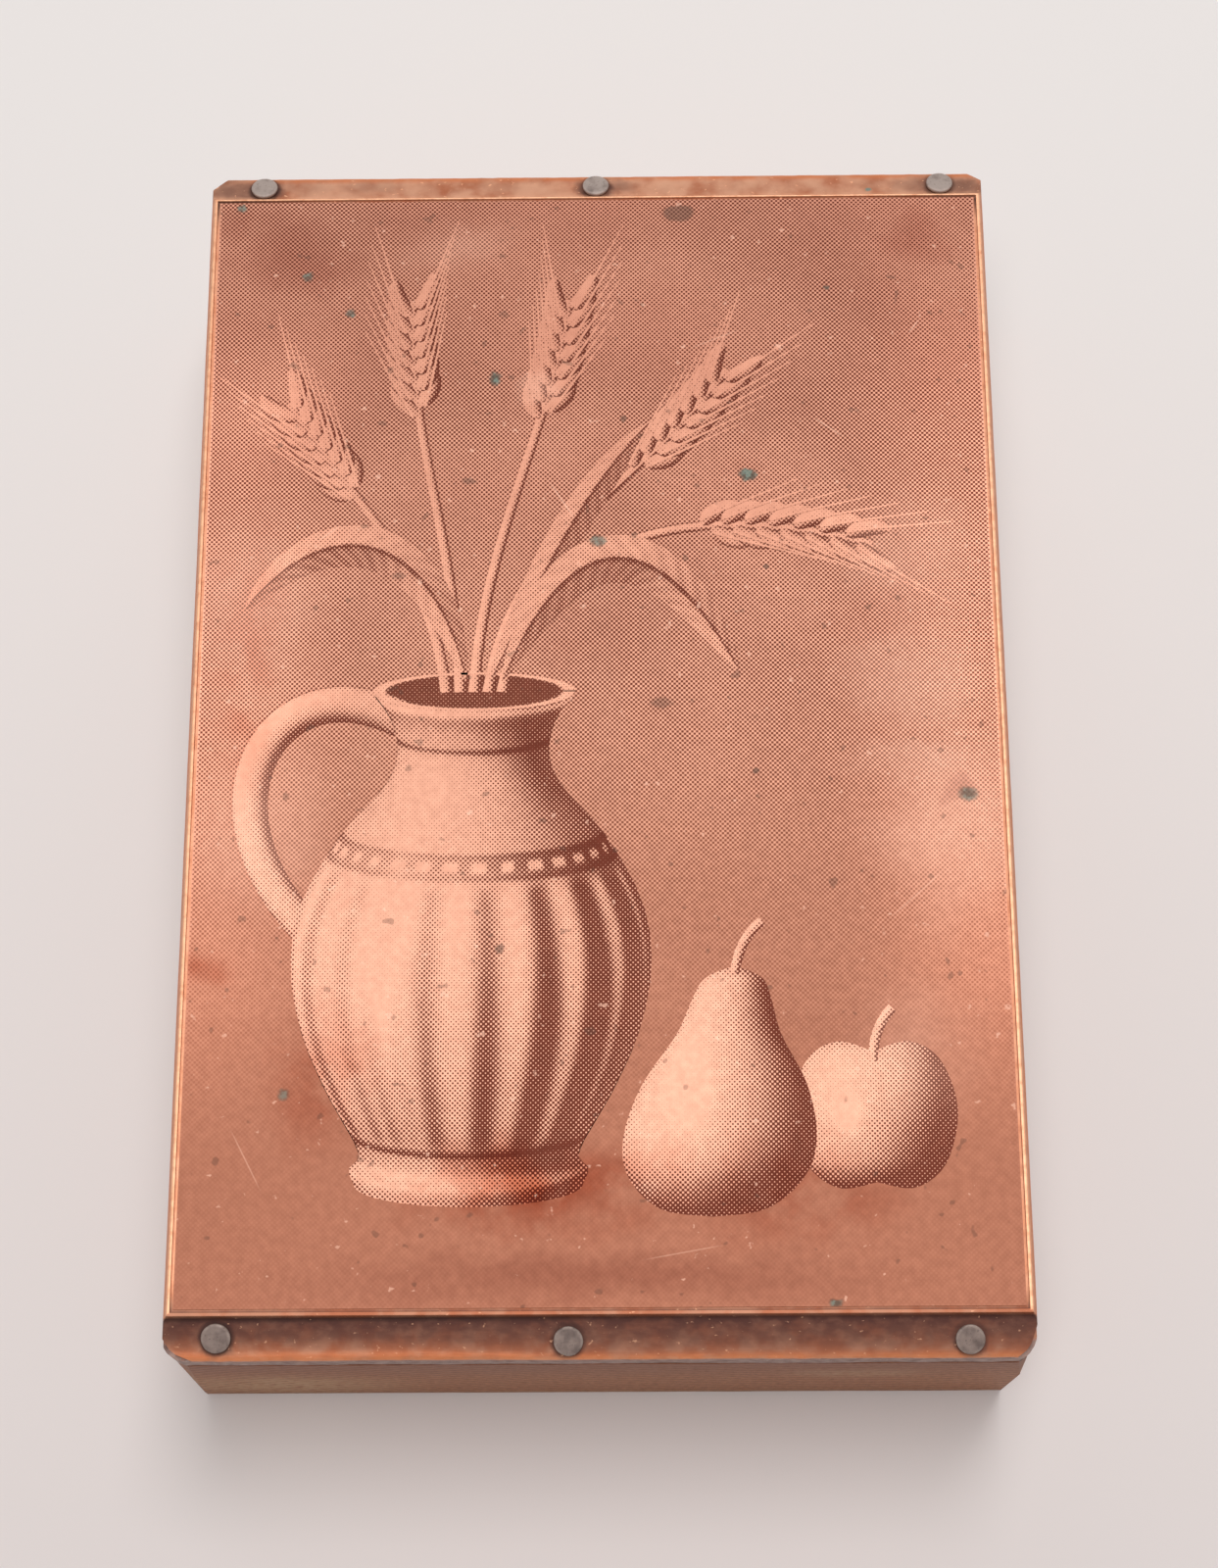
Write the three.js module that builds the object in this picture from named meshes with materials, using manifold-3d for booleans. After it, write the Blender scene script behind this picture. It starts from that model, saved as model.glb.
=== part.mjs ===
// Letterpress printing block: an electrotype nailed to a wood base that lifts its face to type height.
// The electrotype is a thin copper shell, grown on a mould of the picture and backed with lead alloy.
// Millimetres, +Z up. The origin is under the middle of the base, and +Y runs to the head of the picture.

import * as THREE from "three";
import { ConvexGeometry } from "three/addons/geometries/ConvexGeometry.js";
import { mergeVertices } from "three/addons/utils/BufferGeometryUtils.js";
import Module from "manifold-3d";

const wasm = await Module();
wasm.setup();

// Driving dimensions of the block
const TYPE_HEIGHT = 23.317;
const BASE_WIDTH = 59.2;
const BASE_LENGTH = 89.7;
const PLATE_THICKNESS = 4.22;
const PLATE_SIDE_MARGIN = 0.15;
const PLATE_END_MARGIN = 0.05;
const BASE_ARRIS = 0.35;

// Copper shell: printing field, the groove round it, the border line, the side bevels and the nailing flanges
const SHELL_THICKNESS = 0.35;
const SOLDER_FILM = 0.04;
const GROOVE_WIDTH = 0.2;
const GROOVE_DEPTH = 0.16;
const BORDER_LINE = 0.25;
const HEAD_BORDER_LINE = 0.13;
const SIDE_BEVEL_WIDTH = 0.33;
const SIDE_BEVEL_DROP = 0.85;
const HEAD_FLANGE_WIDTH = 2.37;
const FOOT_FLANGE_WIDTH = 2.85;
const HEAD_FLANGE_DROP = 1.13;
const FOOT_FLANGE_DROP = 1.29;
const FLANGE_STEP = 0.42;
const STEP_DRAFT = 0.08;
const FLANGE_HOLLOW = 0.2;

// Trimmed corners of the plate: how far each cut runs across and along, and how far it runs down the wood
const HEAD_LEFT_CUT = { across: 1.15, along: 1.15, down: 7 };
const HEAD_RIGHT_CUT = { across: 1.06, along: 0.75, down: 4 };
const FOOT_LEFT_CUT = { across: 1.3, along: 1.0, down: 18.5 };
const FOOT_RIGHT_CUT = { across: 0.95, along: 1.4, down: 8 };

// The cuts at the foot were filed round: how near each comes to the full corner, as a share of the cut
const FILED_CORNER_SHARE = 0.27;

// Flange nails
const NAIL_HEAD_DIAMETER = 2.0;
const NAIL_HEAD_THICKNESS = 0.36;
const NAIL_HEAD_CROWN = 0.07;
const NAIL_RIM_ROUND = 0.09;
const NAIL_NECK = 0.12;
const NAIL_DIAMETER = 1.05;
const NAIL_LENGTH = 11.5;
const NAIL_POINT = 1.9;
const NAIL_GROOVES = 3;
const NAIL_GROOVE_PITCH = 0.55;
const NAIL_GROOVE_DEPTH = 0.07;
const NAIL_SEAT_GAP = 0.04;
const NAIL_BORE_CLEARANCE = 0.08;
const NAIL_END_ROOM = 0.3;
const HEAD_NAIL_END_DISTANCES = [1.17, 1.19, 1.19];
const FOOT_NAIL_END_DISTANCES = [1.5, 1.22, 1.22];
const HEAD_NAIL_SHARES = [-0.864, -0.002, 0.89];
const FOOT_NAIL_SHARES = [-0.876, -0.071, 0.845];

// Picture: a still life of a jug, five ears of wheat and two fruits. Its light parts lie below type height,
// as the acid left them on the original, each at a depth of its own, so that one reads against the next.
const JUG_DEPTH = 0.07;
const FLUTE_DEPTH = 0.12;
const FRUIT_DEPTH = 0.08;
const STEM_DEPTH = 0.05;
const LEAF_DEPTH = 0.1;
const GRAIN_DEPTHS = [0.09, 0.12];

const JUG_HALF_WIDTH = 12.6;
const JUG_HEIGHT = 35.6;
const JUG_HANDLE_HALF_WIDTH = 1.4;
const STEM_HALF_WIDTH = 0.42;
const GRAIN_LENGTH = 3.3;
const GRAIN_HALF_WIDTH = 0.8;
const LEAF_HALF_WIDTHS = [1.7, 1.3, 1.9];
const PEAR_HALF_WIDTH = 6.6;
const PEAR_HEIGHT = 17.5;
const APPLE_HALF_WIDTH = 5.6;
const APPLE_HEIGHT = 10.2;
const STALK_HALF_WIDTH = 0.35;

// Places in the picture are shares of the field's half width and half length, from the field's middle
const JUG_FOOT_SHARES = [-0.31, -0.8];
const PEAR_FOOT_SHARES = [0.27, -0.855];
const APPLE_FOOT_SHARES = [0.66, -0.81];

// Half widths and heights of the round forms, as shares of their greatest half width and their height
const JUG_PROFILE_SHARES = [
  [0.62, 0],
  [0.65, 0.03],
  [0.6, 0.065],
  [0.78, 0.18],
  [0.93, 0.3],
  [1, 0.43],
  [0.95, 0.56],
  [0.74, 0.7],
  [0.5, 0.8],
  [0.43, 0.87],
  [0.47, 0.94],
  [0.58, 1],
];
const PEAR_PROFILE_SHARES = [
  [0, 0],
  [0.55, 0.03],
  [0.92, 0.16],
  [1, 0.32],
  [0.86, 0.52],
  [0.55, 0.72],
  [0.42, 0.86],
  [0.3, 0.95],
  [0, 1],
];
const APPLE_PROFILE_SHARES = [
  [0, 0.04],
  [0.45, 0],
  [0.82, 0.14],
  [1, 0.42],
  [0.98, 0.66],
  [0.78, 0.9],
  [0.42, 1],
  [0, 0.93],
];
const PEAR_LEAN = 0.1;

// The jug is seen a little from above, so its rings open as ellipses. Its flutes run between two of them.
const RING_SHARE = 0.2;
const MOUTH_SHARE = 0.88;
const FLUTE_SHARES = [0.14, 0.62];
const FLUTES = 9;
const FLUTE_FILL = 0.3;

// The handle's middle line, in shares of the jug's half width and height from its foot
const HANDLE_SHARES = [
  [-0.4, 0.94],
  [-1.15, 1.08],
  [-1.62, 0.76],
  [-0.9, 0.5],
];

// Middle lines of the stems and leaves from the jug's mouth to their tips, and of the stalks of the fruits
const STEM_LINE_SHARES = [
  [[-0.38, 0.05], [-0.42, 0.28], [-0.6, 0.38], [-0.8, 0.6]],
  [[-0.345, 0.05], [-0.36, 0.34], [-0.5, 0.56], [-0.48, 0.8]],
  [[-0.31, 0.05], [-0.29, 0.34], [-0.12, 0.54], [-0.07, 0.8]],
  [[-0.275, 0.05], [-0.22, 0.34], [0.1, 0.42], [0.34, 0.66]],
  [[-0.24, 0.05], [-0.18, 0.32], [0.2, 0.42], [0.7, 0.32]],
];
const LEAF_LINE_SHARES = [
  [[-0.33, 0.07], [-0.42, 0.36], [-0.7, 0.4], [-0.9, 0.2]],
  [[-0.27, 0.07], [-0.12, 0.3], [-0.02, 0.44], [0.14, 0.56]],
  [[-0.24, 0.07], [-0.05, 0.4], [0.18, 0.34], [0.36, 0.08]],
];
const STALK_LINE_SHARES = [
  [[0.33, -0.45], [0.34, -0.41], [0.36, -0.38], [0.4, -0.36]],
  [[0.66, -0.6], [0.66, -0.56], [0.68, -0.53], [0.71, -0.51]],
];
const LEAF_FULLNESS = 0.7;

// An ear fills the last part of its stem with pairs of grains. A grain's middle line leaves the stem,
// in shares of the grain's length ahead along the stem and out from it.
const EAR_START_SHARE = 0.68;
const EAR_PAIRS = 7;
const GRAIN_LINE_SHARES = [
  [0, 0.03],
  [0.27, 0.36],
  [0.7, 0.48],
  [0.97, 0.41],
];
const GRAIN_FULLNESS = 0.5;
const GRAIN_SKEW = 0.3;

// Steps along a stem or leaf, up the side of a round form or along a ring of the jug, and along a grain
const LINE_STEPS = 16;
const ROUND_STEPS = 30;
const GRAIN_STEPS = 6;

// Cuts run past the surfaces that they open
const OVERRUN = 1;
const ROUND_SEGMENTS = 20;
const CURVE_SEGMENTS = 5;

// Places that follow from the dimensions above
const PLATE_BOTTOM = TYPE_HEIGHT - PLATE_THICKNESS;
const PLATE_HALF_WIDTH = BASE_WIDTH / 2 - PLATE_SIDE_MARGIN;
const PLATE_HALF_LENGTH = BASE_LENGTH / 2 - PLATE_END_MARGIN;
const BORDER_SIDE = PLATE_HALF_WIDTH - SIDE_BEVEL_WIDTH;
const BORDER_HEAD = PLATE_HALF_LENGTH - HEAD_FLANGE_WIDTH;
const BORDER_FOOT = -PLATE_HALF_LENGTH + FOOT_FLANGE_WIDTH;
const FIELD_HALF_WIDTH = BORDER_SIDE - BORDER_LINE - GROOVE_WIDTH;
const FIELD_HEAD = BORDER_HEAD - HEAD_BORDER_LINE - GROOVE_WIDTH;
const FIELD_FOOT = BORDER_FOOT + BORDER_LINE + GROOVE_WIDTH;
const FIELD_MIDDLE = (FIELD_HEAD + FIELD_FOOT) / 2;
const FIELD_HALF_LENGTH = (FIELD_HEAD - FIELD_FOOT) / 2;

const HEAD_END = {
  side: 1,
  width: HEAD_FLANGE_WIDTH,
  drop: HEAD_FLANGE_DROP,
  nailDistances: HEAD_NAIL_END_DISTANCES,
  nailShares: HEAD_NAIL_SHARES,
};
const FOOT_END = {
  side: -1,
  width: FOOT_FLANGE_WIDTH,
  drop: FOOT_FLANGE_DROP,
  nailDistances: FOOT_NAIL_END_DISTANCES,
  nailShares: FOOT_NAIL_SHARES,
};

// Solids: three.js makes the shapes, manifold-3d joins and cuts them

function solid(geometry) {
  const bare = geometry.clone();
  bare.deleteAttribute("normal");
  bare.deleteAttribute("uv");
  const merged = mergeVertices(bare);
  return new wasm.Manifold(
    new wasm.Mesh({
      numProp: 3,
      vertProperties: merged.attributes.position.array,
      triVerts: new Uint32Array(merged.index.array),
    }),
  );
}

function geometryOf(manifold) {
  const made = manifold.getMesh();
  const geometry = new THREE.BufferGeometry();
  geometry.setAttribute("position", new THREE.BufferAttribute(made.vertProperties, made.numProp));
  geometry.setIndex(new THREE.BufferAttribute(made.triVerts, 1));
  geometry.computeVertexNormals();
  return geometry;
}

function meet(...solids) {
  return solids.reduce((a, b) => a.intersect(b));
}

function cut(body, cutters) {
  return cutters.reduce((a, b) => a.subtract(b), body);
}

// A profile drawn in Y and Z, run the whole way across the block
function alongWidth(shape) {
  const run = BASE_WIDTH + 2 * OVERRUN;
  const geometry = new THREE.ExtrudeGeometry(shape, {
    depth: run,
    bevelEnabled: false,
    curveSegments: CURVE_SEGMENTS,
  });
  geometry.translate(0, 0, -run / 2);
  geometry.applyMatrix4(
    new THREE.Matrix4().makeBasis(
      new THREE.Vector3(0, 1, 0),
      new THREE.Vector3(0, 0, 1),
      new THREE.Vector3(1, 0, 0),
    ),
  );
  return solid(geometry);
}

// A profile drawn in X and Z, run the whole length of the block
function alongLength(shape) {
  const run = BASE_LENGTH + 2 * OVERRUN;
  const geometry = new THREE.ExtrudeGeometry(shape, {
    depth: run,
    bevelEnabled: false,
    curveSegments: CURVE_SEGMENTS,
  });
  geometry.translate(0, 0, -run / 2);
  geometry.rotateX(Math.PI / 2);
  return solid(geometry);
}

// A plan outline in X and Y, raised from one height to another
function raised(shape, from, to) {
  const geometry = new THREE.ExtrudeGeometry(shape, {
    depth: to - from,
    bevelEnabled: false,
    curveSegments: CURVE_SEGMENTS,
  });
  geometry.translate(0, 0, from);
  return solid(geometry);
}

function rectangle(left, right, foot, head) {
  const shape = new THREE.Shape();
  shape.moveTo(left, foot);
  shape.lineTo(right, foot);
  shape.lineTo(right, head);
  shape.lineTo(left, head);
  shape.closePath();
  return shape;
}

// Plan of the plate: a rectangle with its corners at the head cut straight and those at the foot filed round
function platePlan() {
  const x = PLATE_HALF_WIDTH;
  const y = PLATE_HALF_LENGTH;
  const left = new THREE.Vector2(FOOT_LEFT_CUT.across, FOOT_LEFT_CUT.along).multiplyScalar(FILED_CORNER_SHARE);
  const right = new THREE.Vector2(FOOT_RIGHT_CUT.across, FOOT_RIGHT_CUT.along).multiplyScalar(FILED_CORNER_SHARE);
  const shape = new THREE.Shape();
  shape.moveTo(x, y - HEAD_RIGHT_CUT.along);
  shape.lineTo(x - HEAD_RIGHT_CUT.across, y);
  shape.lineTo(-x + HEAD_LEFT_CUT.across, y);
  shape.lineTo(-x, y - HEAD_LEFT_CUT.along);
  shape.lineTo(-x, -y + FOOT_LEFT_CUT.along);
  shape.quadraticCurveTo(-x + left.x, -y + left.y, -x + FOOT_LEFT_CUT.across, -y);
  shape.lineTo(x - FOOT_RIGHT_CUT.across, -y);
  shape.quadraticCurveTo(x - right.x, -y + right.y, x, -y + FOOT_RIGHT_CUT.along);
  shape.closePath();
  return shape;
}

// Side view of the plate's top: each flange drops from the border line by a drafted step and a soft hollow,
// then falls away to the end of the plate. lowered sinks the flanges alone, for what lies under them.
function lengthProfile(lowered = 0) {
  const floor = PLATE_BOTTOM - OVERRUN;
  const step = TYPE_HEIGHT - FLANGE_STEP - lowered;
  const head = BORDER_HEAD + STEP_DRAFT;
  const foot = BORDER_FOOT - STEP_DRAFT;
  const headSlope = flangeSlope(HEAD_END);
  const footSlope = flangeSlope(FOOT_END);
  const shape = new THREE.Shape();
  shape.moveTo(-PLATE_HALF_LENGTH - OVERRUN, floor);
  shape.lineTo(PLATE_HALF_LENGTH + OVERRUN, floor);
  shape.lineTo(PLATE_HALF_LENGTH + OVERRUN, TYPE_HEIGHT - HEAD_FLANGE_DROP - lowered - OVERRUN * headSlope);
  shape.lineTo(head + FLANGE_HOLLOW, step - FLANGE_HOLLOW * headSlope);
  shape.quadraticCurveTo(head, step, head - STEP_DRAFT / 2, step + FLANGE_STEP / 2);
  shape.lineTo(BORDER_HEAD, TYPE_HEIGHT);
  shape.lineTo(BORDER_FOOT, TYPE_HEIGHT);
  shape.lineTo(foot + STEP_DRAFT / 2, step + FLANGE_STEP / 2);
  shape.quadraticCurveTo(foot, step, foot - FLANGE_HOLLOW, step - FLANGE_HOLLOW * footSlope);
  shape.lineTo(-PLATE_HALF_LENGTH - OVERRUN, TYPE_HEIGHT - FOOT_FLANGE_DROP - lowered - OVERRUN * footSlope);
  shape.closePath();
  return shape;
}

// How steeply a flange falls away, as drop over run
function flangeSlope(end) {
  return (end.drop - FLANGE_STEP) / (end.width - STEP_DRAFT);
}

// End view of the plate's top: the bevels outside the border line, then upright sides.
// lowered sinks the feet of the bevels, for what lies under them.
function widthProfile(lowered = 0) {
  const floor = PLATE_BOTTOM - OVERRUN;
  const bevelFoot = TYPE_HEIGHT - SIDE_BEVEL_DROP - lowered;
  const shape = new THREE.Shape();
  shape.moveTo(-PLATE_HALF_WIDTH, floor);
  shape.lineTo(PLATE_HALF_WIDTH, floor);
  shape.lineTo(PLATE_HALF_WIDTH, bevelFoot);
  shape.lineTo(BORDER_SIDE, TYPE_HEIGHT);
  shape.lineTo(-BORDER_SIDE, TYPE_HEIGHT);
  shape.lineTo(-PLATE_HALF_WIDTH, bevelFoot);
  shape.closePath();
  return shape;
}

// The plate's outer form, from below its seat up to its printing face
function plateForm(lowered = 0) {
  return meet(
    alongWidth(lengthProfile(lowered)),
    alongLength(widthProfile(lowered)),
    raised(platePlan(), PLATE_BOTTOM, TYPE_HEIGHT + OVERRUN),
  );
}

// The etched groove that sets the printing field apart from the border line
function borderGroove() {
  const x = BORDER_SIDE - BORDER_LINE;
  const ring = rectangle(-x, x, BORDER_FOOT + BORDER_LINE, BORDER_HEAD - HEAD_BORDER_LINE);
  ring.holes.push(rectangle(-FIELD_HALF_WIDTH, FIELD_HALF_WIDTH, FIELD_FOOT, FIELD_HEAD));
  return etched(ring, GROOVE_DEPTH);
}

// What is missing from the face inside an outline, down to a depth below type height
function etched(shape, depth) {
  return raised(shape, TYPE_HEIGHT - depth, TYPE_HEIGHT + OVERRUN);
}

// Picture

function inField([across, along]) {
  return new THREE.Vector2(across * FIELD_HALF_WIDTH, FIELD_MIDDLE + along * FIELD_HALF_LENGTH);
}

function lineInField(shares) {
  return new THREE.CubicBezierCurve(...shares.map(inField));
}

// An outline without the points that a pointed end would repeat
function outline(points) {
  return new THREE.Shape(points.filter((point, i) => !point.equals(points[(i + 1) % points.length])));
}

// A strip along a line, with its half width given by how far along it is
function strip(line, halfWidth, steps) {
  const right = [];
  const left = [];
  for (let i = 0; i <= steps; i++) {
    const ahead = line.getTangent(i / steps);
    const side = new THREE.Vector2(ahead.y, -ahead.x).multiplyScalar(halfWidth(i / steps));
    right.push(line.getPoint(i / steps).add(side));
    left.push(line.getPoint(i / steps).sub(side));
  }
  return outline([...right, ...left.reverse()]);
}

// Half width of a leaf or grain: pointed at both ends, and fuller towards its foot the more it is skewed
function pointed(halfWidth, fullness, skew) {
  return (t) => halfWidth * (4 * t * (1 - t)) ** fullness * (1 - skew * t);
}

function leaf(line, halfWidth) {
  return strip(line, pointed(halfWidth, LEAF_FULLNESS, 0), LINE_STEPS);
}

// A round form standing at a point: its half width and height at each step of its profile
function profileSteps(shares, halfWidth, height) {
  const curve = new THREE.SplineCurve(shares.map(([x, y]) => new THREE.Vector2(x, y)));
  return curve.getPoints(ROUND_STEPS).map((point) => [point.x * halfWidth, point.y * height]);
}

function fruit(foot, shares, halfWidth, height, lean) {
  const { x, y } = inField(foot);
  const steps = profileSteps(shares, halfWidth, height);
  const right = steps.map(([across, up]) => new THREE.Vector2(x + up * lean + across, y + up));
  const left = steps.map(([across, up]) => new THREE.Vector2(x + up * lean - across, y + up));
  return outline([...right, ...left.reverse()]);
}

// Point of the jug's surface at a share of its height, turned by an angle from the side that faces the eye
function onJug(share, angle) {
  const foot = inField(JUG_FOOT_SHARES);
  const curve = new THREE.SplineCurve(JUG_PROFILE_SHARES.map(([x, y]) => new THREE.Vector2(x, y)));
  const point = curve.getPoint(share);
  const halfWidth = point.x * JUG_HALF_WIDTH;
  return new THREE.Vector2(
    foot.x + halfWidth * Math.sin(angle),
    foot.y + point.y * JUG_HEIGHT - RING_SHARE * halfWidth * Math.cos(angle),
  );
}

// Points along the jug for steps from 0 to 1
function alongJug(pointAt) {
  return Array.from({ length: ROUND_STEPS + 1 }, (_, i) => pointAt(i / ROUND_STEPS));
}

// Part of a ring round the jug, drawn as an ellipse
function ringPoints(share, from, to) {
  return alongJug((t) => onJug(share, from + (to - from) * t));
}

// The jug's outline, its mouth left standing inside the lip
function jugOutline() {
  const quarter = Math.PI / 2;
  const shape = new THREE.Shape([
    ...ringPoints(0, -quarter, quarter),
    ...alongJug((t) => onJug(t, quarter)).slice(1, -1),
    ...ringPoints(1, quarter, 3 * quarter),
    ...alongJug((t) => onJug(1 - t, -quarter)).slice(1, -1),
  ]);
  const middle = onJug(1, quarter).add(onJug(1, -quarter)).multiplyScalar(1 / 2);
  const lip = ringPoints(1, 0, 4 * quarter).slice(1);
  const mouth = lip.map((point) => point.sub(middle).multiplyScalar(MOUTH_SHARE).add(middle));
  shape.holes.push(new THREE.Path(mouth));
  return shape;
}

// One flute of the jug's body, narrowing to nothing at both ends
function flute(angle) {
  const [low, high] = FLUTE_SHARES;
  const half = (FLUTE_FILL * Math.PI) / FLUTES;
  const edge = (side) =>
    Array.from({ length: ROUND_STEPS / 2 + 1 }, (_, i) => {
      const t = (2 * i) / ROUND_STEPS;
      return onJug(low + (high - low) * t, angle + side * half * (4 * t * (1 - t)) ** (1 / 2));
    });
  return outline([...edge(1), ...edge(-1).reverse()]);
}

function flutes() {
  const step = Math.PI / FLUTES;
  return Array.from({ length: FLUTES }, (_, i) => flute((i - (FLUTES - 1) / 2) * step));
}

function handleLine() {
  const foot = inField(JUG_FOOT_SHARES);
  return new THREE.CubicBezierCurve(
    ...HANDLE_SHARES.map(([x, y]) => new THREE.Vector2(foot.x + x * JUG_HALF_WIDTH, foot.y + y * JUG_HEIGHT)),
  );
}

// One grain on a side of its stem
function grain(stem, t, side) {
  const ahead = stem.getTangent(t).multiplyScalar(GRAIN_LENGTH);
  const out = new THREE.Vector2(ahead.y, -ahead.x).multiplyScalar(side);
  const points = GRAIN_LINE_SHARES.map(([along, across]) =>
    stem.getPoint(t).addScaledVector(ahead, along).addScaledVector(out, across),
  );
  const halfWidth = pointed(GRAIN_HALF_WIDTH, GRAIN_FULLNESS, GRAIN_SKEW);
  return strip(new THREE.CubicBezierCurve(...points), halfWidth, GRAIN_STEPS);
}

// The grains of one ear, the two sides half a step apart, each pair at another depth than the last
function ear(stem) {
  const pairs = Array.from({ length: EAR_PAIRS }, (_, pair) => pair);
  return pairs.flatMap((pair) =>
    [-1, 1].map((side) => {
      const t = EAR_START_SHARE + ((1 - EAR_START_SHARE) * (pair + (1 + side) / 4)) / EAR_PAIRS;
      return [grain(stem, t, side), GRAIN_DEPTHS[pair % GRAIN_DEPTHS.length]];
    }),
  );
}

// Every sunk part of the picture
function pictureRelief() {
  const stems = STEM_LINE_SHARES.map(lineInField);
  const stalks = STALK_LINE_SHARES.map(lineInField);
  const leaves = LEAF_LINE_SHARES.map(lineInField);
  const etchings = [
    ...stems.map((line) => [strip(line, () => STEM_HALF_WIDTH, LINE_STEPS), STEM_DEPTH]),
    ...leaves.map((line, i) => [leaf(line, LEAF_HALF_WIDTHS[i]), LEAF_DEPTH]),
    ...stems.flatMap(ear),
    [strip(handleLine(), () => JUG_HANDLE_HALF_WIDTH, LINE_STEPS), STEM_DEPTH],
    [jugOutline(), JUG_DEPTH],
    ...flutes().map((shape) => [shape, FLUTE_DEPTH]),
    [fruit(PEAR_FOOT_SHARES, PEAR_PROFILE_SHARES, PEAR_HALF_WIDTH, PEAR_HEIGHT, PEAR_LEAN), FRUIT_DEPTH],
    [fruit(APPLE_FOOT_SHARES, APPLE_PROFILE_SHARES, APPLE_HALF_WIDTH, APPLE_HEIGHT, 0), JUG_DEPTH],
    ...stalks.map((line) => [strip(line, () => STALK_HALF_WIDTH, GRAIN_STEPS), STEM_DEPTH]),
  ];
  return etchings.map(([shape, depth]) => etched(shape, depth));
}

// Nails: each leans with its flange, so that its shank points in under the picture

function nailPlaces() {
  return [HEAD_END, FOOT_END].flatMap((end) => {
    const slope = flangeSlope(end);
    const tilt = -end.side * Math.atan(slope);
    return end.nailShares.map((share, i) => ({
      position: new THREE.Vector3(
        share * PLATE_HALF_WIDTH,
        end.side * (PLATE_HALF_LENGTH - end.nailDistances[i]),
        TYPE_HEIGHT - end.drop + end.nailDistances[i] * slope,
      ),
      tilt,
    }));
  });
}

// Half of a nail's outline, from the middle of its crowned head down to its point
function nailProfile() {
  const head = NAIL_HEAD_DIAMETER / 2;
  const shank = NAIL_DIAMETER / 2;
  const seat = NAIL_SEAT_GAP;
  const rim = seat + NAIL_HEAD_THICKNESS - NAIL_HEAD_CROWN;
  const profile = [
    [0, seat + NAIL_HEAD_THICKNESS],
    [head / 2, seat + NAIL_HEAD_THICKNESS - NAIL_HEAD_CROWN / 4],
    [head - NAIL_RIM_ROUND, rim],
    [head, rim - NAIL_RIM_ROUND],
    [head, seat],
    [shank, seat],
  ];
  for (let i = 0; i < NAIL_GROOVES; i++) {
    const top = -NAIL_NECK - i * NAIL_GROOVE_PITCH;
    profile.push([shank, top]);
    profile.push([shank - NAIL_GROOVE_DEPTH, top - NAIL_GROOVE_PITCH / 2]);
  }
  profile.push([shank, -NAIL_NECK - NAIL_GROOVES * NAIL_GROOVE_PITCH]);
  profile.push([shank, -NAIL_LENGTH + NAIL_POINT]);
  profile.push([0, -NAIL_LENGTH]);
  return profile.map(([x, y]) => new THREE.Vector2(x, y)).reverse();
}

function nailGeometry() {
  const geometry = new THREE.LatheGeometry(nailProfile(), ROUND_SEGMENTS);
  geometry.rotateX(Math.PI / 2);
  return geometryOf(solid(geometry));
}

// The hole that one nail makes, open at the top and ending in a cone under the nail's point
function nailBore(place) {
  const radius = NAIL_DIAMETER / 2 + NAIL_BORE_CLEARANCE;
  const profile = [
    [0, -NAIL_LENGTH - NAIL_END_ROOM],
    [radius, -NAIL_LENGTH + NAIL_POINT],
    [radius, OVERRUN],
    [0, OVERRUN],
  ];
  const points = profile.map(([x, y]) => new THREE.Vector2(x, y));
  const geometry = new THREE.LatheGeometry(points, ROUND_SEGMENTS);
  geometry.rotateX(Math.PI / 2);
  geometry.rotateX(place.tilt);
  geometry.translate(...place.position.toArray());
  return solid(geometry);
}

// Copper shell: the whole printing surface, one skin from flange to flange
function copperShell(bores) {
  const skin = plateForm().subtract(plateForm().translate([0, 0, -SHELL_THICKNESS]));
  return cut(skin, [borderGroove(), ...pictureRelief(), ...bores]);
}

// Lead alloy backing, cast against the inside of the shell
function leadBacking(bores) {
  const inside = plateForm(SOLDER_FILM).translate([0, 0, -SHELL_THICKNESS]);
  const seated = raised(platePlan(), PLATE_BOTTOM, TYPE_HEIGHT);
  return cut(inside.intersect(seated), bores);
}

// Wood base: side grain stock with eased arrises, its corners pared off with the plate's
function woodBase(bores) {
  const x = BASE_WIDTH / 2;
  const y = BASE_LENGTH / 2;
  const stock = meet(
    alongWidth(easedSection(y)),
    alongLength(easedSection(x)),
    raised(rectangle(-x, x, -y, y), 0, PLATE_BOTTOM),
  );
  const pared = [
    cornerWedge(-1, 1, HEAD_LEFT_CUT),
    cornerWedge(1, 1, HEAD_RIGHT_CUT),
    cornerWedge(-1, -1, FOOT_LEFT_CUT),
    cornerWedge(1, -1, FOOT_RIGHT_CUT),
  ];
  return cut(stock, [...pared, ...bores]);
}

// Upright section of the base with the lower arrises taken off
function easedSection(half) {
  const shape = new THREE.Shape();
  shape.moveTo(-half + BASE_ARRIS, 0);
  shape.lineTo(half - BASE_ARRIS, 0);
  shape.lineTo(half, BASE_ARRIS);
  shape.lineTo(half, PLATE_BOTTOM + OVERRUN);
  shape.lineTo(-half, PLATE_BOTTOM + OVERRUN);
  shape.lineTo(-half, BASE_ARRIS);
  shape.closePath();
  return shape;
}

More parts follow.
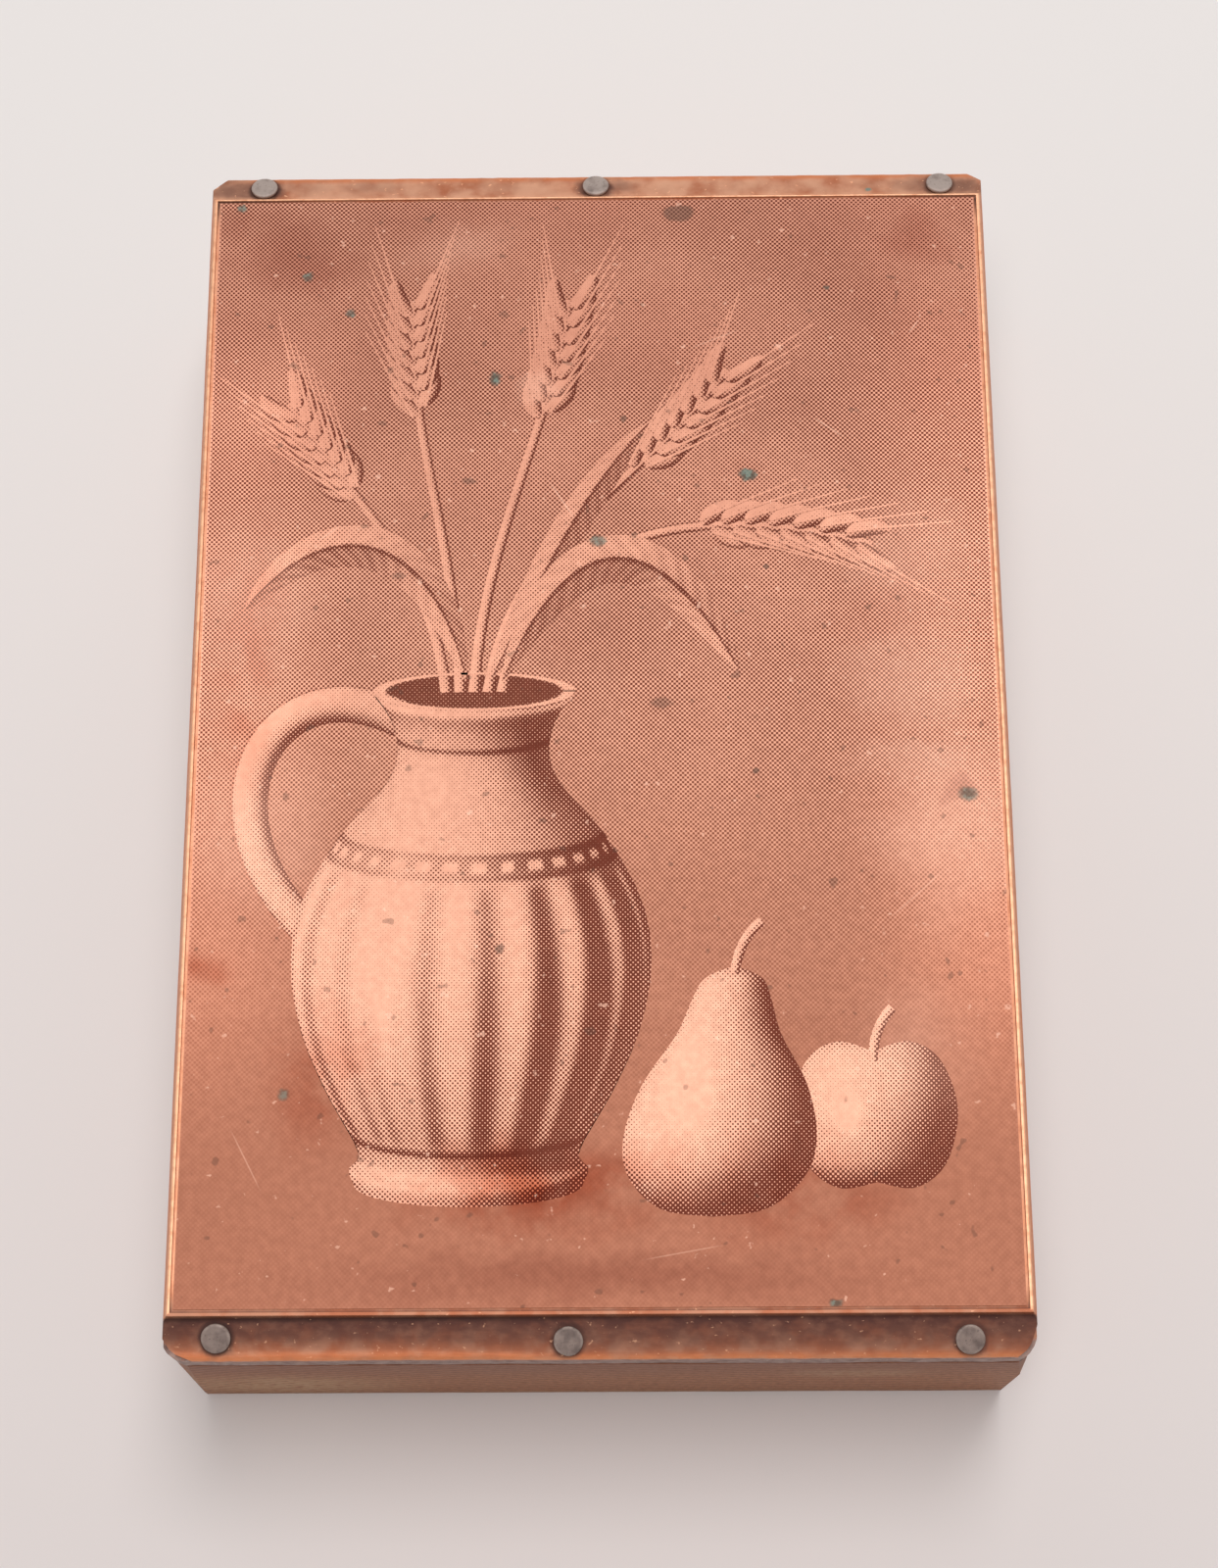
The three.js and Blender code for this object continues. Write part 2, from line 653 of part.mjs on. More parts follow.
// A slanted cut that takes the plate's corner trim on down the wood until it runs out
function cornerWedge(sideX, sideY, trim) {
  const x = (sideX * BASE_WIDTH) / 2;
  const y = (sideY * BASE_LENGTH) / 2;
  const tip = new THREE.Vector3(x, y, PLATE_BOTTOM - trim.down);
  const across = new THREE.Vector3(x - sideX * (trim.across + PLATE_SIDE_MARGIN), y, PLATE_BOTTOM);
  const along = new THREE.Vector3(x, y - sideY * (trim.along + PLATE_END_MARGIN), PLATE_BOTTOM);
  const corner = new THREE.Vector3(x, y, PLATE_BOTTOM);
  const past = 1 + OVERRUN / trim.down;
  const beyond = (point) => point.clone().sub(tip).multiplyScalar(past).add(tip);
  const outside = beyond(corner).add(new THREE.Vector3(sideX * OVERRUN, sideY * OVERRUN, 0));
  return solid(new ConvexGeometry([tip, beyond(across), beyond(along), outside]));
}

// Assembly

const copper = { color: 0xc07f66, roughness: 0.42, metalness: 0.9 };
const lead = { color: 0x837a75, roughness: 0.6, metalness: 0.7 };
const wood = { color: 0x84614f, roughness: 0.75, metalness: 0 };
const steel = { color: 0x8f8681, roughness: 0.5, metalness: 0.8 };

function piece(name, geometry, look) {
  const mesh = new THREE.Mesh(geometry, new THREE.MeshStandardMaterial(look));
  mesh.name = name;
  return mesh;
}

const block = new THREE.Group();
const places = nailPlaces();
const bores = places.map(nailBore);

block.add(piece("wood_base", geometryOf(woodBase(bores)), wood));

const plate = new THREE.Group();
plate.add(piece("lead_backing", geometryOf(leadBacking(bores)), lead));
plate.add(piece("copper_shell", geometryOf(copperShell(bores)), copper));
block.add(plate);

const nailNames = [
  "nail_head_left",
  "nail_head_middle",
  "nail_head_right",
  "nail_foot_left",
  "nail_foot_middle",
  "nail_foot_right",
];
const nails = new THREE.Group();
places.forEach((place, i) => {
  const nail = piece(nailNames[i], nailGeometry(), steel);
  nail.position.copy(place.position);
  nail.rotation.x = place.tilt;
  nails.add(nail);
});
block.add(nails);

export default block;
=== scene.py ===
"""Looks of a letterpress printing block: an electrotype plate nailed to a wood base of type height.

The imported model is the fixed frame. The copper shell with its picture, the lead backing, the wood and the
nails are modelled here round it. Lengths are in millimetres, and each mesh is turned to metres as it is made.
"""

import logging
import math
from collections.abc import Callable, Iterator, Sequence
from contextlib import contextmanager
from dataclasses import dataclass
from enum import Enum

import bpy
import numpy as np
from mathutils import Matrix, Vector, noise


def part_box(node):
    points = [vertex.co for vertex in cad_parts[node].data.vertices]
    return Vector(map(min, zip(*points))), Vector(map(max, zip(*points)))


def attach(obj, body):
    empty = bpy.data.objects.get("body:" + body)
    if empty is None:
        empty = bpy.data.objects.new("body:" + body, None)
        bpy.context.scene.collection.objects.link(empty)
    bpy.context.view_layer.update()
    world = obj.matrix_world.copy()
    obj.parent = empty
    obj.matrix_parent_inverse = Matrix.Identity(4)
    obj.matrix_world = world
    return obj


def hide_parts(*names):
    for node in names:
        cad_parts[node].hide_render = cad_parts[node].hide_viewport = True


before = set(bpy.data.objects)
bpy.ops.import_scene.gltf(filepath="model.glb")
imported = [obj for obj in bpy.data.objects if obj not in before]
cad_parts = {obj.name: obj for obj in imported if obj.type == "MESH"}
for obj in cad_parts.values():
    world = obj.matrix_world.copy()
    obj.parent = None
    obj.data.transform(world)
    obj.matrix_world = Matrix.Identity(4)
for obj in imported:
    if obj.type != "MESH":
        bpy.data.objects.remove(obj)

MM = 0.001
BODY = "root"
log = logging.getLogger("printing_block")

Point = tuple[float, float]
Triple = tuple[float, float, float]
Table = tuple[Point, ...]
Grid = np.ndarray
Width = Callable[[Grid], Grid]
Piece = bpy.types.Object
Material = bpy.types.Material
Socket = bpy.types.NodeSocket


class Slot(Enum):
    """The record's material slots."""

    WOOD = "wood"
    LEAD = "lead"
    COPPER = "copper"
    STEEL = "steel"


class End(Enum):
    """The two ends of the plate, as the way each one faces along Y."""

    HEAD = 1
    FOOT = -1


# Sizes that more than one piece needs


@dataclass(frozen=True)
class Flange:
    """The nailing flange at one end of the plate."""

    end: End
    width: float
    drop: float
    nail_distances: tuple[float, ...]
    line: float
    step: float = 0.42
    draft: float = 0.08

    @property
    def slope(self) -> float:
        """How steeply the flange falls away, as drop over run."""
        return (self.drop - self.step) / (self.width - self.draft)


@dataclass(frozen=True)
class CornerCut:
    """A corner pared off the block: its way from the middle, its reach each way, and how far down it runs.

    The fullness is how near the cut comes to the full corner: a half on a straight cut, less on a round one.
    """

    way: Point
    across: float
    along: float
    down: float
    fullness: float = 0.5

    @property
    def is_round(self) -> bool:
        """Whether the corner is filed round and not cut straight."""
        return self.fullness < 0.5


HEAD_FLANGE = Flange(End.HEAD, 2.37, 1.13, (1.17, 1.19, 1.19), 0.13)
FOOT_FLANGE = Flange(End.FOOT, 2.85, 1.29, (1.5, 1.22, 1.22), 0.25)
CORNER_CUTS = (
    CornerCut((-1, 1), 1.15, 1.15, 7.0),
    CornerCut((1, 1), 1.06, 0.75, 4.0),
    CornerCut((-1, -1), 1.3, 1.0, 18.5, 0.27),
    CornerCut((1, -1), 0.95, 1.4, 8.0, 0.27),
)
NAIL_NODES = {
    flange: [f"nail_{flange.end.name.lower()}_{side}" for side in ("left", "middle", "right")]
    for flange in (HEAD_FLANGE, FOOT_FLANGE)
}


@dataclass(frozen=True)
class BlockSizes:
    """Outer sizes of the block and its plate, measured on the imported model."""

    half_width: float
    half_length: float
    type_height: float
    plate_half_width: float
    plate_half_length: float
    plate_bottom: float
    side_bevel: float = 0.33
    side_line: float = 0.25
    groove: float = 0.2

    @classmethod
    def from_frame(cls) -> "BlockSizes":
        """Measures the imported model.

        Returns:
            The sizes, in millimetres.
        """
        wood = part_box("wood_base")[1] / MM
        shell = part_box("copper_shell")[1] / MM
        return cls(wood.x, wood.y, shell.z, shell.x, shell.y, wood.z)

    @property
    def border_side(self) -> float:
        """Distance from the middle to the outer edge of the border line at a long side."""
        return self.plate_half_width - self.side_bevel

    def border_end(self, flange: Flange) -> float:
        """Distance from the middle to the outer edge of the border line at an end."""
        return self.plate_half_length - flange.width

    def nail_heads(self, flange: Flange) -> list[Triple]:
        """Finds the seats of a flange's nails.

        Args:
            flange: The flange.

        Returns:
            The middle of each seat, left to right.
        """
        heads = []
        for node, distance in zip(NAIL_NODES[flange], flange.nail_distances):
            across = sum(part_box(node), Vector()).x / 2 / MM
            along = flange.end.value * (self.plate_half_length - distance)
            heads.append((across, along, self.type_height - flange.drop + distance * flange.slope))
        return heads


# Shader nodes


def linear(hex_colour: str) -> tuple[float, float, float, float]:
    """Turns an sRGB colour into the linear one that a shader takes.

    Args:
        hex_colour: Six hex digits after a #.

    Returns:
        Red, green, blue and an alpha of 1.
    """
    values = [int(hex_colour[i : i + 2], 16) / 255 for i in (1, 3, 5)]
    red, green, blue = (v / 12.92 if v <= 0.04045 else ((v + 0.055) / 1.055) ** 2.4 for v in values)
    return red, green, blue, 1.0


def add_node(
    tree: bpy.types.NodeTree, kind: str, settings: dict | None = None, inputs: dict | None = None
) -> bpy.types.Node:
    """Adds one node with its settings, its input values and its links.

    Args:
        tree: The node tree.
        kind: The node's type.
        settings: Values of the node's own properties.
        inputs: A value or another node's output for each input, by name or place.

    Returns:
        The node.
    """
    made = tree.nodes.new(kind)
    for name, value in (settings or {}).items():
        setattr(made, name, value)
    for key, value in (inputs or {}).items():
        if isinstance(value, Socket):
            tree.links.new(value, made.inputs[key])
        else:
            made.inputs[key].default_value = value
    return made


@dataclass(frozen=True)
class Dab:
    """A mark on the block: its middle, its half sizes, how strong it is and how much of it is solid."""

    across: float
    along: float
    half_width: float
    half_length: float
    strength: float = 1.0
    core: float = 0.4
    height: float = 23.0
    half_height: float = 4.0


@dataclass(frozen=True)
class Scratch:
    """A fine straight scratch on the face, from one point to another, and how strong it is."""

    start: Point
    stop: Point
    strength: float
    half_width: float = 0.07


class Shading:
    """A material in the making: its tree, its shader and the few sums that the finishes are made of."""

    def __init__(self, name: str) -> None:
        """Starts a material with a shader on its output and the place on the block in millimetres.

        Args:
            name: The material's name.
        """
        self.material = bpy.data.materials.new(name)
        self.material.use_nodes = True
        self.tree = self.material.node_tree
        self.tree.nodes.clear()
        self.shader = self.add("ShaderNodeBsdfPrincipled")
        self.add("ShaderNodeOutputMaterial", inputs={"Surface": self.shader.outputs["BSDF"]})
        place = self.add("ShaderNodeTexCoord").outputs["Object"]
        self.place = self.vector("SCALE", place, Scale=1 / MM)

    def add(self, kind: str, settings: dict | None = None, inputs: dict | None = None) -> bpy.types.Node:
        """Adds a node to this material."""
        return add_node(self.tree, kind, settings, inputs)

    def math(self, operation: str, *values: object) -> Socket:
        """Does one sum on numbers and outputs."""
        made = self.add("ShaderNodeMath", {"operation": operation}, dict(enumerate(values)))
        return made.outputs[0]

    def vector(self, operation: str, *values: object, **named: object) -> Socket:
        """Does one sum on vectors."""
        inputs = {**dict(enumerate(values)), **named}
        return self.add("ShaderNodeVectorMath", {"operation": operation}, inputs).outputs[0]

    def ramp(self, value: object, low: float, high: float, to: Point = (0.0, 1.0)) -> Socket:
        """Turns a value smoothly from one level to another.

        Args:
            value: The value.
            low: Where the first level ends.
            high: Where the second one begins.
            to: The two levels.

        Returns:
            The level.
        """
        inputs = {"Value": value, "From Min": low, "From Max": high, "To Min": to[0], "To Max": to[1]}
        made = self.add("ShaderNodeMapRange", {"interpolation_type": "SMOOTHSTEP"}, inputs)
        return made.outputs["Result"]

    def attribute(self, name: str) -> Socket:
        """A number that the mesh carries at each point."""
        return self.add("ShaderNodeAttribute", {"attribute_name": name}).outputs["Fac"]

    def axis(self, name: str, place: Socket | None = None) -> Socket:
        """X, Y or Z of the place on the block in millimetres, or of another place."""
        return self.add("ShaderNodeSeparateXYZ", inputs={0: place or self.place}).outputs[name]

    def noise(self, size: float, detail: float = 2.0, stretch: Sequence[float] = (1, 1, 1)) -> Socket:
        """Cloudy noise, about a half on average.

        Args:
            size: How wide its lumps are, in millimetres.
            detail: How much finer noise lies over them.
            stretch: How far it is drawn out along each axis.

        Returns:
            The noise.
        """
        scaled = self.vector("MULTIPLY", self.place, [1 / (size * part) for part in stretch])
        inputs = {"Vector": scaled, "Scale": 1.0, "Detail": detail}
        return self.add("ShaderNodeTexNoise", inputs=inputs).outputs["Fac"]

    def mix(self, share: object, first: object, second: object, blend: str = "MIX") -> Socket:
        """Mixes two colours."""
        settings = {"data_type": "RGBA", "blend_type": blend}
        return self.add("ShaderNodeMix", settings, {0: share, 6: first, 7: second}).outputs[2]

    def wander(self, size: float, reach: float) -> Socket:
        """The place on the block, moved about by noise.

        Args:
            size: How far apart the noise's lumps lie.
            reach: How far a point is moved at most.

        Returns:
            The moved place.
        """
        scaled = self.vector("SCALE", self.place, Scale=1 / size)
        inputs = {"Vector": scaled, "Scale": 1.0, "Detail": 3.0}
        cloud = self.add("ShaderNodeTexNoise", inputs=inputs).outputs["Color"]
        centred = self.vector("SUBTRACT", cloud, (0.5,) * 3)
        return self.vector("MULTIPLY_ADD", centred, (2 * reach,) * 3, self.place)

    def dabs(self, dabs: Sequence[Dab], place: Socket) -> Socket:
        """Soft marks at chosen places.

        Args:
            dabs: The marks.
            place: The place on the block, moved about where the marks' edges are to wander.

        Returns:
            How strongly the marks cover each point, from 0 to 1.
        """
        cover: object = 0.0
        for dab in dabs:
            apart = self.vector("SUBTRACT", place, (dab.across, dab.along, dab.height))
            shaped = self.vector("DIVIDE", apart, (dab.half_width, dab.half_length, dab.half_height))
            away = self.add("ShaderNodeVectorMath", {"operation": "LENGTH"}, {0: shaped}).outputs["Value"]
            cover = self.math("MAXIMUM", cover, self.ramp(away, 1.0, dab.core, (0.0, dab.strength)))
        return cover

    def scratches(self, scratches: Sequence[Scratch]) -> Socket:
        """Fine straight scratches that fade towards their ends.

        Args:
            scratches: The scratches.

        Returns:
            How strongly they cover each point, from 0 to 1.
        """
        cover: object = 0.0
        for scratch in scratches:
            start, stop = Vector(scratch.start), Vector(scratch.stop)
            way, middle = (stop - start).normalized(), (start + stop) / 2
            apart = self.vector("SUBTRACT", self.place, (*middle, 0))
            inputs = [{0: apart, 1: (*turned, 0)} for turned in (way.orthogonal(), way)]
            dots = [self.add("ShaderNodeVectorMath", {"operation": "DOT_PRODUCT"}, pair) for pair in inputs]
            aside, ahead = (self.math("ABSOLUTE", dot.outputs["Value"]) for dot in dots)
            thin = self.ramp(aside, scratch.half_width, 0.3 * scratch.half_width, (0.0, scratch.strength))
            half = (stop - start).length / 2
            faded = self.math("MULTIPLY", thin, self.ramp(ahead, half, 0.4 * half))
            cover = self.math("MAXIMUM", cover, faded)
        return cover

    def bump(
        self, height: object, depth: float, strength: float = 1.0, normal: Socket | None = None
    ) -> Socket:
        """Makes a bump.

        Args:
            height: Its height at each point, from 0 to 1.
            depth: How deep it is, in millimetres.
            strength: How much of it shows. A strength below 0 turns it over.
            normal: A bump that it lies on.

        Returns:
            The bumped surface's normal.
        """
        inputs = {"Height": height, "Distance": depth * MM, "Strength": strength}
        if normal is not None:
            inputs["Normal"] = normal
        return self.add("ShaderNodeBump", inputs=inputs).outputs["Normal"]

    def finish(self, **inputs: object) -> Material:
        """Sets the shader's sockets.

        Args:
            inputs: A value or an output for each socket, named with _ for a space.

        Returns:
            The material.
        """
        for name, value in inputs.items():
            socket = self.shader.inputs[name.replace("_", " ")]
            if isinstance(value, Socket):
                self.tree.links.new(value, socket)
            else:
                socket.default_value = value
        return self.material


# Finishes


@dataclass(frozen=True)
class HalftoneCopper:
    """Electrolytic copper with a halftone dot screen, handled and tarnished for years.

    The rubbed tops of the dots are pale salmon and the etched pits between them brown, so the face reads
    as a fine diagonal mesh that opens to plain bright copper in the lights. Oxide films cloud it purple and
    orange.
    """

    light: str = "#F6BC9F"
    plain: str = "#EAB297"
    pit: str = "#7C3D2D"
    oxide: str = "#A2604F"
    orange: str = "#D08153"
    pale: str = "#F4C4AC"
    verdigris: str = "#7C9488"
    verdigris_rim: str = "#57574C"
    scab: str = "#6E5347"
    filled: str = "#BE7F65"
    # Wear along the long sides brightens pit and dot alike
    burnish: str = "#7E7E7E"
    # The real screen is 133 lines to the inch, 0.191 mm. It is drawn coarser so that it shows in the render.
    pitch: float = 0.245
    edge: float = 0.14
    dot_depth: float = 0.012
    # The plain copper round the picture, and how soft its edge is
    plain_edge: float = 0.12
    plain_blur: float = 0.03
    plain_tone: float = 0.28
    ground_tone: float = 0.55
    # Y of the table's far edge, and how soft it is
    table_edge: float = -21.4
    table_blur: float = 0.1
    table_tone: float = -0.07
    # From where to where up the plate the picture's things get paler
    paling: Point = (-6.0, 8.0)
    # From where to where down the plate old ink fills the screen, and how much of it at most
    filling: Point = (12.0, -33.0)
    filling_share: float = 0.955
    # From where to where up the plate oxide clouds the face, and how much of it
    clouding: Point = (-30.0, 40.0)
    cloud_shares: Point = (0.04, 0.46)
    # Where hands have worn the long sides: out from the middle, down from the head and up from the foot
    worn_aside: Point = (15.0, 28.0)
    worn_below_head: Point = (38.0, 24.0)
    worn_above_foot: Point = (-34.0, -18.0)
    worn_head_share: float = 0.15
    # How the edges of broad stains, of spots and of green crusts wander: noise size and reach
    stain_wander: Point = (5.0, 2.6)
    spot_wander: Point = (1.0, 0.32)
    crust_wander: Point = (0.6, 0.3)
    # How much of each mark's colour covers the copper
    oxide_share: float = 0.25
    rubbed_share: float = 0.5
    scab_share: float = 0.65
    crust_share: float = 0.85
    # Roughness in a pit and on a dot, what dull places add, and metallic where bare and where dull
    roughness: Point = (0.68, 0.6)
    dull_roughness: float = 0.2
    metallic: Point = (0.85, 0.15)

    def material(self, field: Sequence[float] = (), shadows: Sequence[Dab] = ()) -> Material:
        """Builds the finish.

        Args:
            field: Half width of the picture's field and Y of its foot. Without it the mesh carries its own
                tone.
            shadows: Dark places of the picture's ground.

        Returns:
            The material.
        """
        made = Shading("electrolytic_copper_ground" if field else "electrolytic_copper_picture")
        tone = self._ground(made, field, shadows) if field else made.attribute("tone")
        tone = made.math("ADD", tone, made.ramp(made.noise(14.0, 1.0), 0.3, 0.7, (-0.05, 0.05)))
        dots = self._screen(made, tone)
        bare = linear(self.light) if field else self._paled(made)
        colour = made.mix(dots, linear(self.pit), bare)
        if field:
            filling = self._filling(made)
            colour = made.mix(filling, colour, linear(self.filled))
            dots = made.math("MULTIPLY", dots, made.math("SUBTRACT", 1.0, filling))
        colour, dull = self._films(made, colour)
        normal = made.bump(dots, self.dot_depth, 0.5, made.bump(made.noise(7.0), 0.03))
        grain = made.ramp(made.noise(0.6, 4.0), 0.2, 0.8, (-0.02, 0.04))
        rough = made.math("ADD", made.ramp(dots, 0.0, 1.0, self.roughness), grain)
        rough = made.math("MULTIPLY_ADD", dull, self.dull_roughness, rough)
        metal = made.ramp(dull, 0.1, 0.9, self.metallic)
        return made.finish(Base_Color=colour, Roughness=rough, Metallic=metal, Normal=normal)

    def _ground(self, made: Shading, field: Sequence[float], shadows: Sequence[Dab]) -> Socket:
        """Tone of the wall and the table behind the picture's things, of their shade and of the plain edge.

        Args:
            made: The material in the making.
            field: Half width of the picture's field and Y of its foot.
            shadows: Dark places of the ground.

        Returns:
            The tone.
        """
        across, along = made.axis("X"), made.axis("Y")
        near, far = self.table_edge - self.table_blur, self.table_edge + self.table_blur
        table = made.ramp(along, far, near, (0.0, self.table_tone))
        lit = made.math("SUBTRACT", made.math("ADD", table, self.ground_tone), made.dabs(shadows, made.place))
        half_width, foot = field
        beyond = made.math("SUBTRACT", made.math("ABSOLUTE", across), half_width)
        beyond = made.math("MAXIMUM", beyond, made.math("SUBTRACT", foot, along))
        start, stop = -self.plain_edge - self.plain_blur, -self.plain_edge + self.plain_blur
        return made.math("ADD", lit, made.ramp(beyond, start, stop, (0.0, self.plain_tone)))

    def _paled(self, made: Shading) -> Socket:
        """Colour of the picture's things where they are bare, paler in the upper half of the plate."""
        upper = made.ramp(made.axis("Y"), *self.paling)
        return made.mix(upper, linear(self.plain), linear(self.light))

    def _filling(self, made: Shading) -> Socket:
        """How far old ink has filled the screen, most of all towards the foot."""
        towards_foot = made.ramp(made.axis("Y"), *self.filling, (0.0, self.filling_share))
        return made.math("MAXIMUM", towards_foot, made.dabs(FILLED_PLACES, made.wander(*self.stain_wander)))

    def _screen(self, made: Shading, tone: Socket) -> Socket:
        """Lays the dot screen at 45 degrees.

        Args:
            made: The material in the making.
            tone: How light each point prints. Lighter places have larger dots.

        Returns:
            1 on a dot and 0 in a pit.
        """
        turns = 2 * math.pi / self.pitch
        inputs = {"Vector": made.place, "Rotation": (0, 0, math.pi / 4), "Scale": (turns,) * 3}
        turned = made.add("ShaderNodeMapping", inputs=inputs).outputs[0]
        waves = [made.math("COSINE", made.axis(name, turned)) for name in "XY"]
        level = made.math("MULTIPLY_ADD", made.math("ADD", *waves), 0.25, 0.5)
        over = made.math("SUBTRACT", made.math("ADD", level, tone), 1.0)
        return made.ramp(over, -self.edge, self.edge)

    def _films(self, made: Shading, colour: Socket) -> tuple[Socket, Socket]:
        """Lays oxide films, stains, rubbed places, spots and scratches over the screen.

        Args:
            made: The material in the making.
            colour: The screen's colour.

        Returns:
            The colour, and how dull each point is.
        """
        place = made.wander(*self.stain_wander)
        near = made.wander(*self.spot_wander)
        towards_head = made.ramp(made.axis("Y"), *self.clouding, self.cloud_shares)
        uneven = made.ramp(made.noise(13.0, 2.0), 0.25, 0.75, (0.62, 1.0))
        clouds = made.math("MULTIPLY", uneven, towards_head)
        oxide = made.math("MAXIMUM", made.dabs(OXIDE_FILMS, place), clouds)
        colour = made.mix(oxide, colour, linear(self.oxide), "MULTIPLY")
        colour = made.mix(made.math("MULTIPLY", oxide, self.oxide_share), colour, linear(self.oxide))
        colour = made.mix(self._side_wear(made), colour, linear(self.burnish), "DODGE")
        patchy = made.ramp(made.noise(3.0, 4.0), 0.3, 0.6)
        orange = made.math("MULTIPLY", made.dabs(ORANGE_STAINS, place), patchy)
        colour = made.mix(orange, colour, linear(self.orange), "MULTIPLY")
        rubbed = made.math("MULTIPLY", made.dabs(RUBBED_PLACES, place), self.rubbed_share)
        specks = made.ramp(made.noise(0.7), 0.7, 0.76, (0.0, 0.55))
        colour = made.mix(made.math("MAXIMUM", rubbed, specks), colour, linear(self.pale))
        pits = made.ramp(made.noise(1.0, 1.0), 0.72, 0.77, (0.0, 0.45))
        scabs = made.math("MAXIMUM", made.dabs(BROWN_SPOTS, near), pits)
        colour = made.mix(made.math("MULTIPLY", scabs, self.scab_share), colour, linear(self.scab))
        green = made.dabs(GREEN_SPOTS, made.wander(*self.crust_wander))
        blotchy = made.ramp(made.noise(0.4, 3.0), 0.42, 0.6)
        crust = made.mix(blotchy, linear(self.verdigris_rim), linear(self.verdigris))
        colour = made.mix(made.math("MULTIPLY", green, self.crust_share), colour, crust)
        colour = made.mix(made.scratches(SCRATCHES), colour, linear(self.pale))
        return colour, made.math("MAXIMUM", made.math("MULTIPLY", scabs, 0.5), green)

    def _side_wear(self, made: Shading) -> Socket:
        """How bright hands have worn the face along its long sides, away from both ends.

        Args:
            made: The material in the making.

        Returns:
            How bright each point is, from 0 to 1.
        """
        aside = made.ramp(made.math("ABSOLUTE", made.axis("X")), *self.worn_aside)
        below_head = made.ramp(made.axis("Y"), *self.worn_below_head, (self.worn_head_share, 1.0))
        above_foot = made.ramp(made.axis("Y"), *self.worn_above_foot)
        return made.math("MULTIPLY", made.math("MULTIPLY", aside, below_head), above_foot)


SCRATCHES = (
    Scratch((23.3, 30.6), (24.2, 31.9), 0.6),
    Scratch((-3.6, 18.9), (-1.6, 15.8), 0.6),
    Scratch((-20.6, 14.1), (-18.7, 15.6), 0.5),
    Scratch((16, 23.9), (18.3, 22.2), 0.6),
    Scratch((6.8, 29.5), (10.9, 31.2), 0.35),
    Scratch((20.2, -14.8), (24.6, -10.9), 0.35),
    Scratch((-25.4, -29), (-22.9, -33.8), 0.35),
    Scratch((2.6, -38.4), (8.8, -37.3), 0.3),
)
FILLED_PLACES = (
    Dab(25, -7, 7, 9, 0.45, 0),
    Dab(-25, -27, 7, 8, 0.8, 0.1),
)
OXIDE_FILMS = (
    Dab(-23, 37, 15, 9, 0.55, 0),
    Dab(-27.5, 40.5, 5, 4, 0.5, 0),
    Dab(20, 38, 14, 9, 0.3, 0),
    Dab(11, 19.5, 6, 4.5, 0.4, 0),
    Dab(4, 21.5, 20, 6, 0.22, 0),
    Dab(-2, 8, 20, 9, 0.28, 0),
    Dab(24, 39, 9, 7, 0.6, 0),
    Dab(0, -39.5, 30, 3, 0.35, 0),
    Dab(25.5, -5.5, 2.6, 2, 0.5, 0.1),
)
ORANGE_STAINS = (
    Dab(-3.4, -33.3, 14, 4.5, 0.9, 0),
    Dab(-27.6, -17.5, 3, 2.4, 0.5, 0.1),
    Dab(-19, -26, 5, 7, 0.45, 0),
    Dab(14, -34, 10, 5, 0.5, 0),
    Dab(-25, 5, 3.5, 16, 0.35, 0),
    Dab(21, 6, 6, 14, 0.15, 0),
)
RUBBED_PLACES = (
    Dab(24, -3, 9, 3.2, 0.7, 0),
    Dab(22.5, 3, 7, 7, 0.55, 0),
    Dab(-10.5, 38.5, 6, 3, 0.35, 0),
    Dab(25, -7, 8, 11, 0.7, 0),
    Dab(22.5, 12, 7, 8, 0.4, 0),
    Dab(-24, -8, 7, 9, 0.45, 0),
    Dab(-25, 9, 6, 10, 0.4, 0),
    Dab(-4, 26.3, 2.4, 1.6, 0.5, 0),
    Dab(22, -24, 6, 7, 0.35, 0),
)
BROWN_SPOTS = (
    Dab(6.2, 41, 1.35, 0.85, 0.75, 0.7),
    Dab(11.3, -3.7, 0.35, 0.35, 0.9),
    Dab(-6.9, -16.6, 0.45, 0.45, 0.8),
    Dab(12.4, 12, 0.3, 0.3, 0.9),
    Dab(1.9, 23.8, 0.4, 0.35, 0.8),
    Dab(-14.5, 11.5, 0.8, 0.4, 0.5),
    Dab(4.6, 1.5, 1.1, 0.5, 0.5),
    Dab(-9.4, 18.9, 0.7, 0.35, 0.6),
)
GREEN_SPOTS = (
    Dab(-7.6, 27.2, 0.62, 0.72, 1, 0.3),
    Dab(0.1, 14.1, 0.72, 0.6, 0.8, 0.3),
    Dab(-21.8, 35.8, 0.6, 0.5, 0.8, 0.3),
    Dab(-18.5, 32.7, 0.5, 0.5, 0.85, 0.3),
    Dab(-27, 41.7, 0.45, 0.4, 0.8, 0.3),
    Dab(11.1, 19.3, 0.85, 0.62, 1, 0.5),
    Dab(26.3, -5.5, 1, 0.75, 0.85, 0.2),
    Dab(17.3, 34.6, 0.3, 0.3, 0.8, 0.3),
    Dab(15.9, -41.3, 0.6, 0.45, 0.9, 0.3),
    Dab(-21.7, -26.9, 0.6, 0.55, 0.7, 0.3),
)


